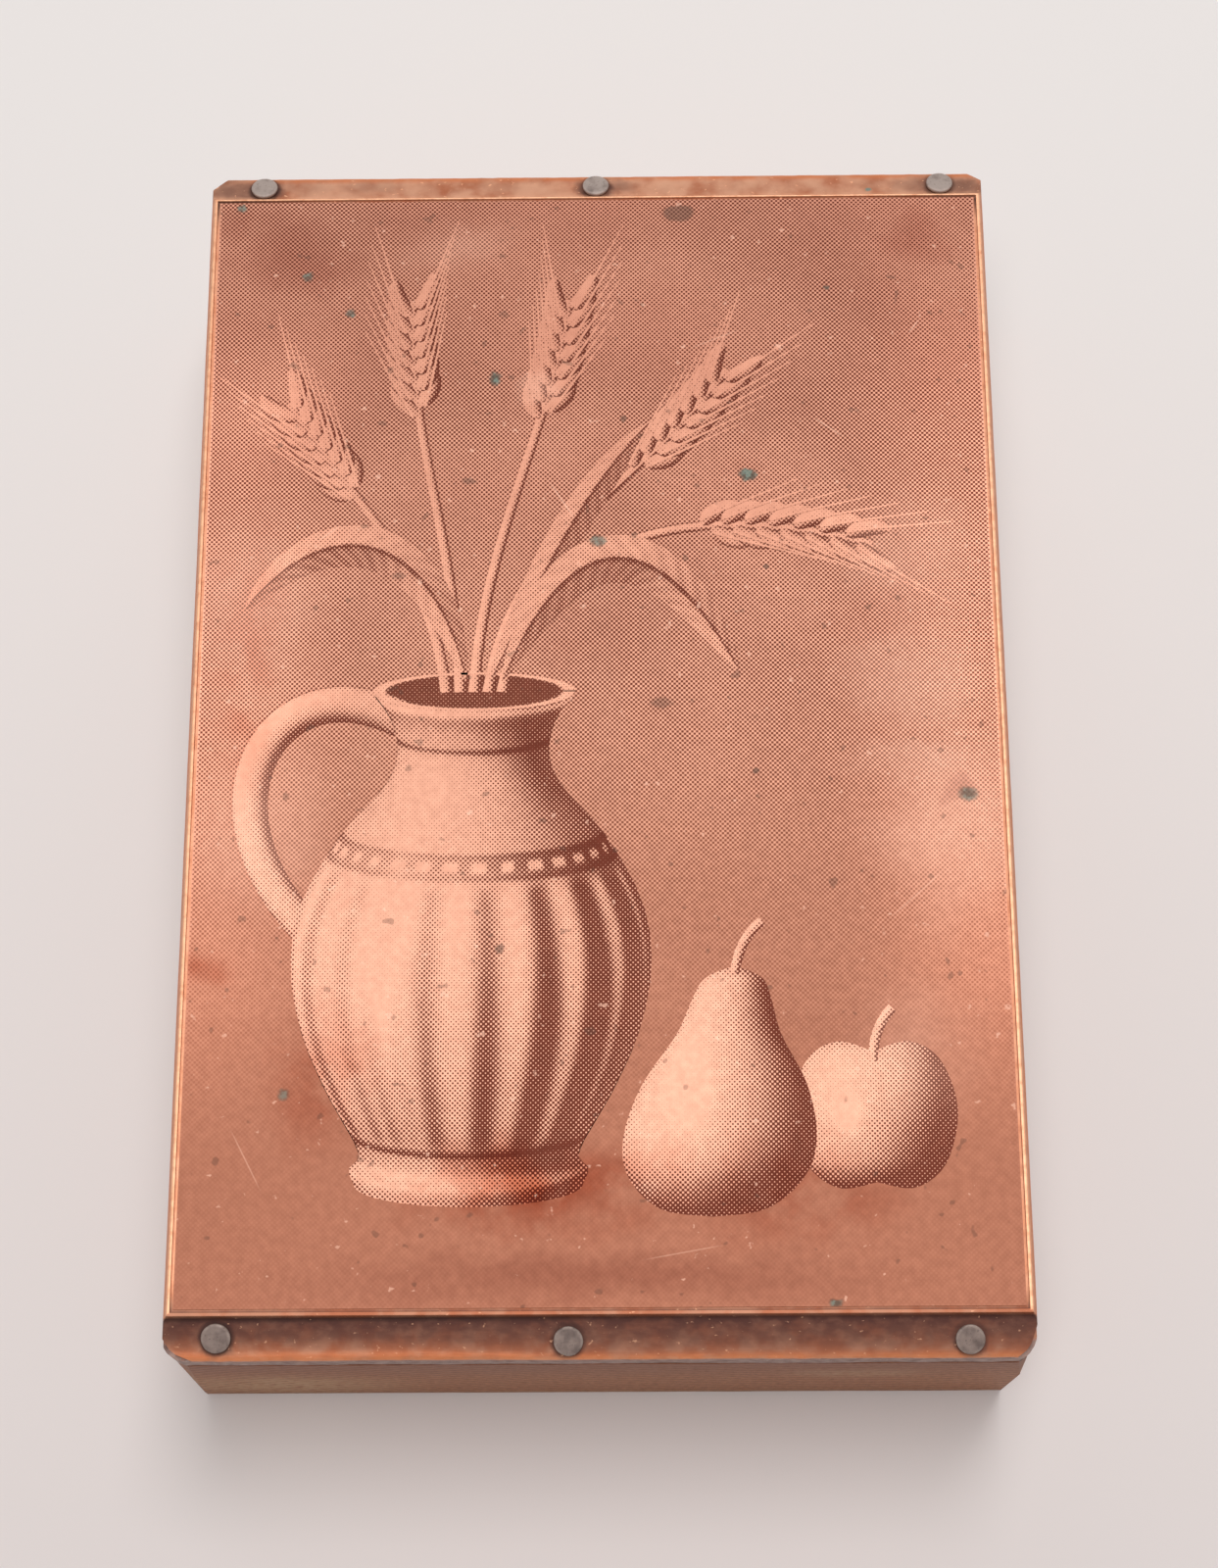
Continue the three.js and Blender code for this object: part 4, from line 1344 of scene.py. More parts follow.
    def _mark(
        self, shell: Piece, side: Grid, head: Grid, foot: Grid, rim: Grid, inward: Grid
    ) -> None:
        """Gives the shell's points their rubbed and dirty places, with painted highlights and painted shade.

        Args:
            shell: The shell's sheet.
            side: Distance outward from the border line's outer edge at the nearer long side.
            head: The same at the head.
            foot: The same at the foot.
            rim: How near each point is to the edge of a flange, from 0 to 1.
            inward: Place in the form's inner table.
        """
        flat = places(shell)
        across, along = (flat[:, i].reshape(side.shape) for i in (0, 1))
        # Rubbed metal with painted highlights on the border line and its bevel
        end_rub_and_highlight = np.where(along > 0, np.interp(head, *zip(*self.head_rub_and_highlight)), 0.0)
        at_end = np.maximum(head, foot) > np.maximum(side, self.groove_wall)
        rub = np.where(at_end, end_rub_and_highlight, np.interp(side, *zip(*self.side_rub_and_highlight)))
        # The groove: dirt with painted shade, and painted light on its floor at the long sides
        cornered = np.clip((np.abs(across) - self.corner_start) / self.corner_growth, 0, 1)
        left, right, at_foot, at_head = self.groove_dirt_and_shade
        beside = np.maximum(np.where(across < 0, left, right), np.interp(along, *zip(*self.corner_dirt_and_shade)))
        at_head = at_head * (0.6 + 0.4 * cornered)
        dirt_and_shade = np.where(foot > side, at_foot, np.where(head > side, at_head, beside))
        groove_painted_light = np.where(np.maximum(foot, head) > side, 0.0, self.groove_light_share * (1 - beside))
        rub = np.where(inward < self.groove_wall, groove_painted_light, rub)
        grime_and_shade = dirt_and_shade * np.interp(inward, *zip(*self.groove_grime_and_shade))
        # The foot flange: dirt with painted shade, darkest under the step
        lean = self.left_lean * np.clip(-across / self.lean_reach, 0, 1) * np.clip(foot - 1, 0, 1)
        grime_and_shade = np.maximum(grime_and_shade, np.interp(foot + lean, *zip(*self.foot_grime_and_shade)) * (foot > side - 0.1))
        grime_and_shade = np.maximum(grime_and_shade, np.interp(head, *zip(*self.head_grime)))
        dark = self.dark_corner
        away = np.hypot((across - dark.across) / dark.half_width, (along - dark.along) / dark.half_length)
        grime_and_shade = np.maximum(grime_and_shade, dark.strength * np.clip((1 - away) / (1 - dark.core), 0, 1) * (head > 0))
        on_flange = np.maximum(head, foot) > 0.5
        rub = np.where(on_flange, self.rim_rub * rim, rub)
        inside = self.sizes.plate_half_length - np.abs(along)
        bare = np.clip(1.4 - 1.4 * inside / self.rim_width, 0, 1) * on_flange
        # Soot with painted shade in the groove and under the foot's step
        groove_soot_and_shade = np.where(head > side, 0.15 + 0.65 * cornered, 0.6 * dirt_and_shade * (dirt_and_shade > 0.5))
        soot_and_shade = np.interp(foot, *zip(*self.foot_soot_and_shade))
        soot_and_shade = np.maximum(soot_and_shade, groove_soot_and_shade * np.interp(inward, *zip(*self.groove_soot_and_shade)) * (along > 0))
        bare = np.maximum(bare, self.head_line_rim * (head > -self.sizes.groove) * (head < 0.06))
        bare = np.where(at_end, bare, np.interp(side, *zip(*self.side_rim), left=0.0))
        for name, values in {"rub": rub, "grime_and_shade": grime_and_shade, "rim": bare, "soot_and_shade": soot_and_shade}.items():
            carry(shell, name, np.clip(values, 0, 1))

    def _tear_edge(self, shell: Piece) -> None:
        """Makes the shell's lower outer edge ragged, as the saw left it.

        Args:
            shell: The shell.
        """
        points = places(shell)
        flat = points * (1, 1, 0)
        at_end = self.sizes.plate_half_length - np.abs(points[:, 1]) < self.torn_end
        at_side = self.sizes.plate_half_width - np.abs(points[:, 0]) < self.torn_side
        below = self.sizes.type_height - self.form.drop(points[:, 0], points[:, 1]) - points[:, 2]
        lower = below > self.torn_share * self.shell_thickness
        broad, fine = (ripple(flat, *tear) for tear in self.tears)
        torn = self.ragged * (broad + 0.7 * fine)
        points[:, 2] += np.where((at_end | at_side) & lower, torn, 0)
        put(shell, points)

    def _backing(self) -> Piece:
        """Casts the lead under the shell, down to the wood.

        Returns:
            The backing.
        """
        columns, rows = self.form.stations(self.lead_step, self.lead_flange_step)
        across, along = np.meshgrid(columns, rows)
        backing = grid("lead_alloy_backing", across, along, self._lead_top(across, along))
        thicken(backing, self.lead_sheet)
        points = places(backing)
        lower = points[:, 2] < self._lead_top(points[:, 0], points[:, 1]) - self.lead_sheet / 2
        points[lower, 2] = self.sizes.plate_bottom
        put(backing, points)
        self.form.trim(backing)
        for height in np.linspace(self.sizes.plate_bottom, self.lead_loop_top, self.lead_loops + 2)[1:-1]:
            slice_at(backing, (0, 0, height), (0, 0, 1), drop=False)
        points = places(backing)
        half = np.array([self.sizes.plate_half_width, self.sizes.plate_half_length])
        outer = np.abs(np.abs(points[:, :2]) - half) < self.lead_skin
        broad, fine = (ripple(points, *lumps) for lumps in self.lead_noises)
        shift = np.clip(self.lead_swell * (0.8 + broad + 0.5 * fine), 0, self.lead_swell_most)
        points[:, :2] -= np.where(outer, np.sign(points[:, :2]) * shift[:, None], 0)
        put(backing, points)
        return backing

    def _lead_top(self, across: Grid, along: Grid) -> Grid:
        """Height of the lead's top, close under the shell."""
        face = self.sizes.type_height - self.form.drop(across, along)
        return face - self.shell_thickness - self.solder_film


# Nails


@dataclass(frozen=True)
class Nails:
    """Six flat-headed steel nails, three through each flange, leaning with it."""

    sizes: BlockSizes
    # Radius and height of the nail from the middle of its head down to its point
    profile: Table = (
        (0.15, 0.378), (0.38, 0.377), (0.6, 0.374), (0.78, 0.366), (0.9, 0.35), (0.965, 0.32),
        (0.995, 0.27), (1.0, 0.2), (0.99, 0.1), (0.95, 0.04), (0.525, 0.04), (0.525, -0.12), (0.455, -0.4),
        (0.525, -0.67), (0.455, -0.95), (0.525, -1.22), (0.455, -1.5), (0.525, -1.77), (0.525, -9.6),
        (0.3, -10.7), (0.04, -11.5),
    )
    sides: int = 48
    # How deep the dents are, how wide and above what height
    dent: float = 0.022
    dent_size: float = 0.8
    dent_base: float = 0.225
    uneven: float = 0.022
    uneven_size: float = 0.9
    # How bright the head is rubbed at a radius
    rim_rub: Table = ((0.86, 0.0), (0.95, 0.7), (1.0, 0.3))
    seat: float = 0.045
    smooth_angle: float = 50
    # How much paler the nails of each end are painted: painted light, the head's nails lit more
    pale: tuple[tuple[End, float], ...] = ((End.HEAD, 0.75), (End.FOOT, 0.0))

    def build(self, steel: DullSteel) -> None:
        """Models one nail, copies it to each place and dresses the copies.

        Args:
            steel: The nails' finish.
        """
        finish = steel.material()
        pattern = self._model()
        for flange, nodes in NAIL_NODES.items():
            for node, head in zip(nodes, self.sizes.nail_heads(flange)):
                copy = bpy.data.objects.new(f"steel_{node}", pattern.data.copy())
                bpy.context.scene.collection.objects.link(copy)
                self._place(copy, flange, head)
                settle(copy, finish, [node], self.smooth_angle)
        bpy.data.objects.remove(pattern)

    def _model(self) -> Piece:
        """Draws the nail down from the middle of its head, ring by ring.

        Returns:
            The nail, upright over the origin.
        """
        radius, height = self.profile[0]
        bpy.ops.mesh.primitive_circle_add(
            vertices=self.sides, radius=radius * MM, fill_type="NGON", location=(0, 0, height * MM)
        )
        nail = bpy.context.active_object
        bpy.ops.object.transform_apply(location=True)
        with editing(nail):
            for next_radius, next_height in self.profile[1:]:
                move = {"value": (0, 0, (next_height - height) * MM)}
                bpy.ops.mesh.extrude_region_move(TRANSFORM_OT_translate=move)
                grow = next_radius / radius
                bpy.ops.transform.resize(value=(grow, grow, 1), center_override=(0, 0, next_height * MM))
                radius, height = next_radius, next_height
            bpy.ops.mesh.select_all(action="SELECT")
            bpy.ops.mesh.normals_make_consistent(inside=False)
        return nail

    def _place(self, nail: Piece, flange: Flange, head: Triple) -> None:
        """Dents the head in its own way and stands the nail in its flange.

        Args:
            nail: The nail, upright over the origin.
            flange: The flange.
            head: The middle of its seat. Its X is also the seed of its dents.
        """
        points = places(nail)
        radius = np.hypot(points[:, 0], points[:, 1])
        on_head = points[:, 2] > self.seat
        carry(nail, "rub", on_head * np.interp(radius, *zip(*self.rim_rub)))
        # Painted light: the head's nails are painted paler than the foot's
        carry(nail, "pale", on_head * dict(self.pale)[flange.end])
        dents = ripple(points * (1, 1, 0), self.dent_size, head[0])
        points[:, 2] += np.where(points[:, 2] > self.dent_base, self.dent * (dents - 0.6), 0)
        grown = on_head * ripple(points * (1, 1, 0), self.uneven_size, head[0] + 7)
        points[:, :2] *= 1 + self.uneven * grown[:, None]
        tilt = Matrix.Rotation(-flange.end.value * math.atan(flange.slope), 3, "X")
        put(nail, points @ np.array(tilt).T + np.array(head))


# Wood base


@dataclass(frozen=True)
class WoodBase:
    """The hardwood block under the plate, its corners pared off with the plate's."""

    sizes: BlockSizes
    arris: float = 0.35
    corner_round: float = 0.14
    # An edge longer than this is upright, and one lower than this lies at the foot
    upright: float = 15.0
    foot_height: float = 0.001
    cuts: int = 26
    waviness: float = 0.05
    wave_most: float = 0.2
    # Lump size and seed of the faces' waves, and how near a point lies to a face that is on it
    waves: tuple[Point, Point] = ((5.0, 2.2), (1.2, 5.5))
    skin: float = 0.02
    smooth_angle: float = 35

    def build(self, wood: AgedHardwood) -> None:
        """Builds and dresses the base.

        Args:
            wood: The base's finish.
        """
        sizes = self.sizes
        bpy.ops.object.select_all(action="DESELECT")
        bpy.ops.mesh.primitive_cube_add(size=1, location=(0, 0, sizes.plate_bottom / 2 * MM))
        base = bpy.context.active_object
        base.name = "hardwood_base"
        base.scale = (2 * sizes.half_width * MM, 2 * sizes.half_length * MM, sizes.plate_bottom * MM)
        bpy.ops.object.transform_apply(location=True, scale=True)
        self._round(base, self.arris, lambda low, high: high.z < self.foot_height * MM)
        self._round(base, self.corner_round, lambda low, high: (high - low).z > self.upright * MM)
        with editing(base):
            bpy.ops.mesh.subdivide(number_cuts=self.cuts)
        for cut in CORNER_CUTS:
            self._pare(base, cut)
        self._wear(base)
        settle(base, wood.material(), ["wood_base"], self.smooth_angle)

    def _round(self, base: Piece, width: float, wanted: Callable[[Vector, Vector], bool]) -> None:
        """Rounds the edges that pass a test.

        Args:
            base: The base.
            width: Width of the rounding.
            wanted: The test, on an edge's lower and upper ends.
        """
        vertices = base.data.vertices
        with editing(base):
            bpy.ops.mesh.select_mode(type="EDGE")
            bpy.ops.mesh.select_all(action="DESELECT")
            bpy.ops.object.mode_set(mode="OBJECT")
            for edge in base.data.edges:
                ends = (vertices[i].co for i in edge.vertices)
                edge.select = wanted(*sorted(ends, key=lambda place: place.z))
            bpy.ops.object.mode_set(mode="EDIT")
            bpy.ops.mesh.bevel(offset=width * MM, segments=3, affect="EDGES")

    def _pare(self, base: Piece, cut: CornerCut) -> None:
        """Pares a corner in a long taper that runs out down the upright edge.

        Args:
            base: The base.
            cut: The corner.
        """
        sizes = self.sizes
        across, along = cut.way
        x, y, top = across * sizes.half_width, along * sizes.half_length, sizes.plate_bottom
        ends = [
            Vector((x - across * (cut.across + sizes.half_width - sizes.plate_half_width), y, top)),
            Vector((x, y - along * (cut.along + sizes.half_length - sizes.plate_half_length), top)),
            Vector((x, y, top - cut.down)),
        ]
        outward = (ends[1] - ends[0]).cross(ends[2] - ends[0])
        if outward.x * across < 0:
            outward.negate()
        slice_at(base, ends[0], outward.normalized())

    def _wear(self, base: Piece) -> None:
        """Makes the planed faces a little uneven, inside their full size.

        Args:
            base: The base.
        """
        points = places(base)
        broad, fine = self.waves
        wave = ripple(points * (1, 0.25, 1), *broad) + 0.4 * ripple(points * (1, 0.5, 1), *fine)
        half = np.array([self.sizes.half_width, self.sizes.half_length])
        near = np.abs(np.abs(points[:, :2]) - half) < self.skin
        shift = np.clip(self.waviness * (0.7 + 0.5 * wave), 0, self.wave_most)[:, None]
        points[:, :2] -= np.where(near, np.sign(points[:, :2]) * shift, 0)
        put(base, points)


# Picture


@dataclass(frozen=True)
class PictureLight:
    """The light that the still life is drawn in, from high on the left."""

    direction: Triple = (-0.55, 0.45, 0.70)

    def on(self, across: Grid, along: Grid, out: Grid) -> Grid:
        """How brightly a surface is lit.

        Args:
            across: X of the way that it faces.
            along: Y of it.
            out: Z of it.

        Returns:
            From 0 in the dark to 1 in full light.
        """
        size = np.sqrt(across**2 + along**2 + out**2)
        beam = np.array(self.direction) / np.linalg.norm(self.direction)
        return np.clip((across * beam[0] + along * beam[1] + out * beam[2]) / size, 0, 1)


@dataclass(frozen=True)
class Sheet:
    """A thin part of the picture: its points in plan, how light each one prints, and its depth."""

    across: Grid
    along: Grid
    tone: Grid
    sunk: float


@dataclass(frozen=True)
class Line:
    """A cubic curve through the picture, in millimetres."""

    points: Grid

    def at(self, share: Grid) -> Grid:
        """Points along the curve.

        Args:
            share: How far along each one lies, from 0 to 1.

        Returns:
            The points, one row each.
        """
        t = np.asarray(share, float)[:, None]
        a, b, c, d = self.points
        return (1 - t) ** 3 * a + 3 * (1 - t) ** 2 * t * b + 3 * (1 - t) * t**2 * c + t**3 * d

    def heading(self, share: Grid) -> Grid:
        """Unit vectors along the curve.

        Args:
            share: How far along each one lies, from 0 to 1.

        Returns:
            The vectors, one row each.
        """
        t = np.asarray(share, float)[:, None]
        a, b, c, d = self.points
        ahead = (1 - t) ** 2 * (b - a) + 2 * (1 - t) * t * (c - b) + t**2 * (d - c)
        return ahead / np.linalg.norm(ahead, axis=1, keepdims=True)


def spline(knots: Sequence[Point], share: Grid) -> Grid:
    """Points along a smooth curve through all of its knots, which it takes at even steps.

    Args:
        knots: The knots.
        share: How far along each point lies, from 0 to 1.

    Returns:
        The points, one row each.
    """
    table = np.array(knots, float)
    last = len(table) - 1
    x = np.clip(np.asarray(share) * last, 0, last - 1e-9)
    i = x.astype(int)
    f = (x - i)[:, None]
    before, here = table[np.maximum(i - 1, 0)], table[i]
    after, beyond = table[i + 1], table[np.minimum(i + 2, last)]
    bend = 2 * before - 5 * here + 4 * after - beyond
    twist = -before + 3 * here - 3 * after + beyond
    return 0.5 * (2 * here + (after - before) * f + bend * f**2 + twist * f**3)


def pointed(half_width: float, fullness: float, skew: float) -> Width:
    """Half width of a form pointed at both ends, fuller towards its foot the more it is skewed."""
    return lambda t: half_width * (4 * t * (1 - t)) ** fullness * (1 - skew * t)


def tapered(half_width: float, end_share: float) -> Width:
    """Half width of a rod that changes evenly to a share of its first half width."""
    return lambda t: half_width * (1 + (end_share - 1) * t)


@dataclass(frozen=True)
class StillLife:
    """The picture: a fluted jug with five ears of wheat and three leaves, a pear and an apple on a table.

    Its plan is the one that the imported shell's sunk parts have. Places are shares of the field's half width
    and half length from the field's middle.
    """

    sizes: BlockSizes
    light: PictureLight = PictureLight()
    slab: float = 0.14
    ground_sunk: float = 0.01
    sheet_depth: float = 0.02
    jug_foot: Point = (-0.31, -0.8)
    jug_half_width: float = 12.6
    jug_height: float = 35.6
    ring_share: float = 0.2
    mouth_share: float = 0.88
    # How finely each thing is drawn: rows and columns
    jug_grid: tuple[int, int] = (170, 109)
    lip_grid: tuple[int, int] = (4, 97)
    fruit_grid: tuple[int, int] = (70, 41)
    leaf_grid: tuple[int, int] = (60, 17)
    grain_grid: tuple[int, int] = (16, 9)
    awn_grid: tuple[int, int] = (10, 3)
    # Tone in the dark, and what full light adds
    jug_tones: Point = (0.16, 0.80)
    fruit_tones: Point = (0.14, 0.82)
    grain_tones: Point = (0.15, 0.9)
    awn_tones: Point = (0.75, 0.3)
    lip_tone: float = 0.92
    # How deep each thing is sunk below type height
    jug_sunk: float = 0.018
    lip_sunk: float = 0.03
    handle_sunk: float = 0.046
    stem_sunk: float = 0.044
    grain_sunk: float = 0.041
    grain_lift: float = 0.0004
    awn_sunk: float = 0.004
    leaf_sunk: float = 0.03
    leaf_lift: float = 0.003
    pear_sunk: float = 0.014
    apple_sunk: float = 0.022
    stalk_sunk: float = 0.012
    jug_profile: Table = (
        (0.62, 0), (0.65, 0.03), (0.6, 0.065), (0.78, 0.18), (0.93, 0.3), (1, 0.43),
        (0.95, 0.56), (0.74, 0.7), (0.5, 0.8), (0.43, 0.87), (0.47, 0.94), (0.58, 1),
    )
    handle: Table = ((-0.4, 0.94), (-1.15, 1.08), (-1.62, 0.76), (-0.9, 0.5))
    handle_half_width: float = 1.4
    flutes: int = 9
    flute_reach: Point = (0.1, 0.66)
    flute_blur: float = 0.03
    flute_depth: float = 0.55
    # The jug's gloss: its turn and height, its half sizes and its strength
    gloss: tuple[float, ...] = (-0.55, 0.5, 0.12, 0.16, 0.35)
    # The dark rings, the lit rim and the beads: heights in shares, half heights and how dark or light
    rings: tuple[float, ...] = (0.10, 0.665, 0.70, 0.90)
    ring_line: Point = (0.006, 0.45)
    rim: tuple[float, ...] = (0.99, 0.012, 0.5)
    beads: tuple[float, ...] = (0.683, 0.012, 0.25)
    bead_turns: float = 30.0
    stems: tuple[Table, ...] = (
        ((-0.38, 0.05), (-0.42, 0.28), (-0.6, 0.38), (-0.8, 0.6)),
        ((-0.345, 0.05), (-0.36, 0.34), (-0.5, 0.56), (-0.48, 0.8)),
        ((-0.31, 0.05), (-0.29, 0.34), (-0.12, 0.54), (-0.07, 0.8)),
        ((-0.275, 0.05), (-0.22, 0.34), (0.1, 0.42), (0.34, 0.66)),
        ((-0.24, 0.05), (-0.18, 0.32), (0.2, 0.42), (0.7, 0.32)),
    )
    stem_half_width: float = 0.42
    ear_start: float = 0.68
    ear_pairs: int = 7
    grain_length: float = 3.3
    grain_half_width: float = 0.8
    grain_line: Table = ((0, 0.03), (0.27, 0.36), (0.7, 0.48), (0.97, 0.41))
    awn_line: Table = ((0, 0.5), (2.5, 1.5), (5, 2.2), (7.5, 3.1))
    awn_half_width: float = 0.13
    leaves: tuple[Table, ...] = (
        ((-0.33, 0.07), (-0.42, 0.36), (-0.7, 0.4), (-0.9, 0.2)),
        ((-0.27, 0.07), (-0.12, 0.3), (-0.02, 0.44), (0.14, 0.56)),
        ((-0.24, 0.07), (-0.05, 0.4), (0.18, 0.34), (0.36, 0.08)),
    )
    leaf_half_widths: tuple[float, ...] = (1.7, 1.3, 1.9)
    # A leaf's tone, how its fold and ribs change it, and its vein's half width in shares and darkness
    leaf_tone: float = 0.62
    leaf_fold: float = 0.16
    leaf_rib: float = 0.06
    leaf_vein: Point = (0.09, 0.45)
    pear_foot: Point = (0.27, -0.855)
    pear_size: Point = (6.6, 17.5)
    pear_lean: float = 0.1
    pear_profile: Table = (
        (0, 0), (0.55, 0.03), (0.92, 0.16), (1, 0.32), (0.86, 0.52), (0.55, 0.72), (0.42, 0.86), (0.3, 0.95),
        (0, 1),
    )
    apple_foot: Point = (0.66, -0.81)
    apple_size: Point = (5.6, 10.2)
    apple_profile: Table = (
        (0, 0.04), (0.45, 0), (0.82, 0.14), (1, 0.42), (0.98, 0.66), (0.78, 0.9), (0.42, 1), (0, 0.93),
    )
    # A fruit's highlight: its place, its half size and what it adds to the tone
    spot_shares: Point = (-0.32, 0.5)
    spot_size_shares: Point = (0.16, 0.12)
    spot_tone: float = 0.4
    stalks: tuple[Table, ...] = (
        ((0.33, -0.45), (0.34, -0.41), (0.36, -0.38), (0.4, -0.36)),
        ((0.66, -0.6), (0.66, -0.56), (0.68, -0.53), (0.71, -0.51)),
    )
    stalk_half_width: float = 0.32
    # Where the things cast shade on the table: middle in shares, half sizes, strength
    shade: tuple[tuple[Point, Point, float], ...] = (
        ((-0.08, -0.83), (13.5, 1.9), 0.25),
        ((0.46, -0.845), (8.5, 1.2), 0.25),
        ((0.8, -0.8), (6.5, 1.0), 0.25),
    )
    mouth_shade: float = 0.45

    # Plan

    @property
    def half_width(self) -> float:
        """Half width of the picture's field."""
        return self.sizes.border_side - self.sizes.side_line - self.sizes.groove

    @property
    def field(self) -> Point:
        """Y of the field's foot and head."""
        head, foot = (self.sizes.border_end(end) - end.line - self.sizes.groove for end in NAIL_NODES)
        return -foot, head

    @property
    def mouth_radius(self) -> float:
        """Half width of the ring at the jug's lip."""
        return self.jug_profile[-1][0] * self.jug_half_width

    @property
    def mouth(self) -> Grid:
        """Middle of the jug's mouth."""
        return self.at(self.jug_foot) + np.array([0, self.jug_height])

    def at(self, shares: Sequence[float]) -> Grid:
        """A place in the field, in millimetres."""
        foot, head = self.field
        return np.array([shares[0] * self.half_width, (foot + head) / 2 + shares[1] * (head - foot) / 2])

    def line(self, shares: Sequence[Point]) -> Line:
        """A curve in the field."""
        return Line(np.array([self.at(pair) for pair in shares]))

    def holds(self, point: Grid, margin: float = 0.3) -> bool:
        """Whether a point lies inside the field, clear of its edge."""
        foot, head = self.field
        return abs(point[0]) < self.half_width - margin and foot + margin < point[1] < head - margin

    # Sheets

    def strip(self, line: Line, half_width: Width, rows: int, columns: int) -> tuple[Grid, ...]:
        """A strip along a curve.

        Args:
            line: Its middle line.
            half_width: Its half width at a share of its length.
            rows: Rows along it.
            columns: Points across it.

        Returns:
            X and Y of each point, its share along, its share across from -1 to 1, and X and Y of the way to
            the right at each row.
        """
        share = np.linspace(0, 1, rows)
        ahead = line.heading(share)
        right_x, right_y = ahead[:, 1:2], -ahead[:, 0:1]
        out = np.linspace(-1, 1, columns)[None, :] + 0 * right_x
        width = half_width(share)[:, None]
        middle = line.at(share)
        across = middle[:, 0:1] + out * width * right_x
        along = middle[:, 1:2] + out * width * right_y
        return across, along, share[:, None] + 0 * out, out, right_x, right_y

    def rod(
        self, line: Line, half_width: Width, sunk: float,
        tones: Point = (0.2, 0.85), rows: int = 40, columns: int = 9,
    ) -> Sheet:
        """A round rod along a curve, lit by the picture's light.

        Args:
            line: Its middle line.
            half_width: Its half width at a share of its length.
            sunk: Its depth.
            tones: Tone in the dark, and what full light adds.
            rows: Rows along it.
            columns: Points across it.

        Returns:
            The rod as a sheet.
        """
        across, along, _, out, right_x, right_y = self.strip(line, half_width, rows, columns)
        lit = self.light.on(out * right_x, out * right_y, np.sqrt(np.maximum(1 - out**2, 0.02)))
        return Sheet(across, along, tones[0] + tones[1] * lit, sunk)

    def round_body(
        self, foot: Grid, profile: Sequence[Point], size: Point, lean: float, sunk: float
    ) -> Sheet:
        """A fruit standing on the table, with a soft highlight.

        Args:
            foot: Where it stands.
            profile: Its half widths and heights, as shares of its size.
            size: Its half width and its height.
            lean: How far it leans over its height.
            sunk: Its depth.

        Returns:
            The fruit as a sheet.
        """
        rows, columns = self.fruit_grid
        steps = spline(profile, np.linspace(0, 1, rows))
        width, up = steps[:, 0:1] * size[0], steps[:, 1:2] * size[1]
        out = np.sin(np.linspace(-math.pi / 2, math.pi / 2, columns))[None, :] + 0 * width
        across = foot[0] + up * lean + width * out
        along = foot[1] + up + 0 * out
        rise = np.gradient(up[:, 0])
        slope = np.gradient(width[:, 0]) / np.where(np.abs(rise) < 1e-4, 1e-4, rise)
        steep = -np.clip(slope, -6, 6)[:, None] + 0 * out
        lit = self.light.on(out, steep, np.sqrt(np.maximum(1 - out**2, 0.01)))
        aside, up_share = self.spot_shares
        spot = foot + np.array([0.5 * lean * size[1] + aside * size[0], up_share * size[1]])
        half_width, half_height = (share * side for share, side in zip(self.spot_size_shares, size))
        near = ((across - spot[0]) / half_width) ** 2 + ((along - spot[1]) / half_height) ** 2
        dark, light = self.fruit_tones
        return Sheet(across, along, dark + light * lit + self.spot_tone * np.exp(-near), sunk)

    def leaf(self, line: Line, half_width: float, sunk: float) -> Sheet:
        """A leaf folded along a dark vein, with faint ribs.

        Args:
            line: Its vein.
            half_width: Half its greatest width.
            sunk: Its depth.

        Returns:
            The leaf as a sheet.
        """
        shape = pointed(half_width, 0.7, 0)
        across, along, share, out, right_x, right_y = self.strip(line, shape, *self.leaf_grid)
        vein_width, vein_tone = self.leaf_vein
        vein = np.exp(-((out / vein_width) ** 2))
        fold = self.leaf_fold * np.sign(out) * np.clip(1.6 * (right_y - right_x), -1, 1)
        ribs = self.leaf_rib * np.sin(share * 90 + np.abs(out) * 8)
        return Sheet(across, along, self.leaf_tone + fold + ribs - vein_tone * vein, sunk)

    def ear(self, stem: Line) -> list[Sheet]:
        """An ear at the end of a stem: grains in pairs, half a step apart, and two awns to a pair.

        Args:
            stem: The stem.

        Returns:
            A sheet for each grain and each awn.
        """
        sheets = []
        for pair in range(self.ear_pairs):
            for side in (-1, 1):
                share = self.ear_start + (1 - self.ear_start) * (pair + (1 + side) / 4) / self.ear_pairs
                start, ahead = stem.at([share])[0], stem.heading([share])[0]
                out = np.array([ahead[1], -ahead[0]]) * side
                points = [start + self.grain_length * (a * ahead + b * out) for a, b in self.grain_line]
                shape = pointed(self.grain_half_width, 0.5, 0.3)
                sunk = self.grain_sunk - self.grain_lift * len(sheets)
                grain = Line(np.array(points))
                sheets.append(self.rod(grain, shape, sunk, self.grain_tones, *self.grain_grid))
                awn = Line(np.array([start + a * ahead + b * out for a, b in self.awn_line]))
                if self.holds(awn.points[-1]):
                    shape = tapered(self.awn_half_width, 0.25)
                    sheets.append(self.rod(awn, shape, self.awn_sunk, self.awn_tones, *self.awn_grid))
        return sheets

